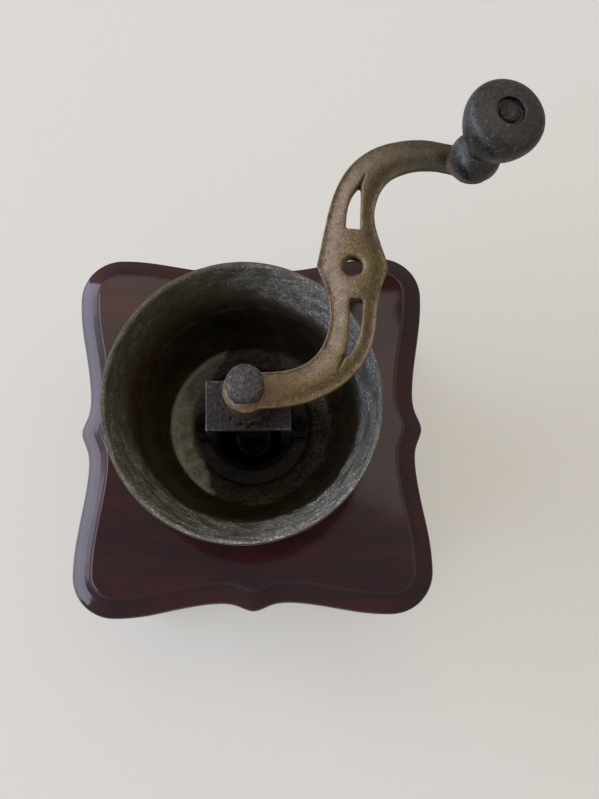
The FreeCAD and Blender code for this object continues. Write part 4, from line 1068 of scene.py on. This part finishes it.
def makeSpring():
    piece = newPiece("returnSpring", bpy.data.meshes.new("returnSpring"))
    grow(piece, coilSpring, {
        "Turns": returnSpring["turns"], "Coil Radius": mm(returnSpring["coilRadius"]),
        "Wire Radius": mm(returnSpring["wireRadius"]), "Low": springLow.z, "High": springHigh.z,
        "Steps": returnSpring["steps"], "Wire Sides": returnSpring["wireSides"],
        "Material": materials["spring_steel"]})
    settle(piece)
    tidied(piece.data, True)
    finishPiece(piece, "spindle", ["spring"])
    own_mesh(piece)


# Knobs

crankKnob = {
    "foot": 0.1, "bore": 3.05, "beadRadius": 10.5, "beadHeight": 11.2, "waistRadius": 7.0, "waistRise": 2.5,
    "ballRadius": 15.75, "ballHeight": 35.4, "topRise": 7.9, "topRadius": 7.3, "recessRadius": 5.6,
    "recessDepth": 2.4, "segments": 160, "cornerSteps": 4, "longestStep": 1.0, "beadSteps": 6, "ballSteps": 8,
    # shares of the bead's radius and height, and of the ball's radius and the height from the waist to its middle
    "beadShape": [(0.97, 0.18), (1.0, 0.42), (0.92, 0.78), (0.76, 1.0)],
    "ballShape": [(0.74, 0.44), (0.893, 0.645), (1.0, 1.0)],
    "grain": (1.8, 0.06), "dents": (9.0, 0.15), "seed": 5.0,
}


def makeCrankKnob():
    foot, bore, bead, tall = [crankKnob[size] for size in ("foot", "bore", "beadRadius", "beadHeight")]
    ball, ballHeight, topRise = [crankKnob[size] for size in ("ballRadius", "ballHeight", "topRise")]
    narrow, recess, deep = [crankKnob[size] for size in ("waistRadius", "recessRadius", "recessDepth")]
    waist = tall + crankKnob["waistRise"]
    neck = ballHeight - waist
    top = ballHeight + topRise
    beadRun = [(bead * wide, tall * high) for wide, high in crankKnob["beadShape"]]
    ballRun = [(ball * wide, waist + neck * high) for wide, high in crankKnob["ballShape"]]
    corners = [(bore, foot, 0)] + smoothRun([(bead * 0.82, foot), *beadRun], crankKnob["beadSteps"])
    corners += smoothRun([
        (narrow, waist), (narrow, waist + neck * 0.28), *ballRun, (ball * 0.9, ballHeight + topRise * 0.666),
        (crankKnob["topRadius"], top - 0.15), (recess + 0.7, top - 0.05)], crankKnob["ballSteps"])
    corners += [(recess, top - 0.1, 0.5), (recess, top - deep, 0), (bore, top - deep, 0), (bore, foot, 0)]
    piece = turnedPiece("crankKnob", corners, crankKnob, {"Material": materials["knob_wood"]})
    piece.data.transform(Matrix.Translation(knobFoot) @ Matrix.Rotation(math.radians(knobLean), 4, "Y"))
    roughen(piece, crankKnob, materials["knob_wood"])
    finishPiece(piece, "knob", ["knob"])


drawerKnob = {
    "radius": 8.0, "length": 17.0, "bore": 1.95, "boreDepth": 11.8, "segments": 72, "cornerSteps": 3,
    "longestStep": 1.0, "curveSteps": 8,
    # shares of its radius and length: the foot that stands on the drawer, and from there to its end
    "foot": (0.72, 0.12),
    "shape": [(0.5, 0.17), (0.44, 0.3), (0.66, 0.46), (1.0, 0.7), (0.7, 0.93), (0.25, 0.995)],
}


def makeDrawerKnob():
    low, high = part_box("drawer_knob")
    radius, length, bore, boreDepth = [drawerKnob[size] for size in ("radius", "length", "bore", "boreDepth")]
    wide, tall = radius * drawerKnob["foot"][0], length * drawerKnob["foot"][1]
    run = [(radius * across, length * along) for across, along in drawerKnob["shape"]]
    corners = [(bore, boreDepth, 0), (bore, 0, 0), (wide, 0, 0.3), (wide, tall, 0.4)]
    corners += smoothRun([*run, (0.01, length)], drawerKnob["curveSteps"])
    corners += [(0, length, 0), (0, boreDepth, 0), (bore, boreDepth, 0)]
    piece = turnedPiece("drawerKnob", corners, drawerKnob, {"Material": drawerKnobWood})
    middle = Vector((0, high.y, (low.z + high.z) / 2))
    piece.data.transform(Matrix.Translation(middle) @ Matrix.Rotation(math.radians(90), 4, "X"))
    finishPiece(piece, "drawer", ["drawer_knob"])


makeBowl()
makeCasting("crankCasting", crankCasting, crownArm)
makeCasting("capNut", capNut)
makeCasting("bridgeStrap", bridgeStrap)
makeCasting("notchedNut", notchedNut)
makeCasting("keyedWasher", keyedWasher)
makeScrews("hopperScrews", hopperScrews)
makeScrews("bridgeScrews", bridgeScrews)
makeSpring()
makeCrankKnob()
makeDrawerKnob()
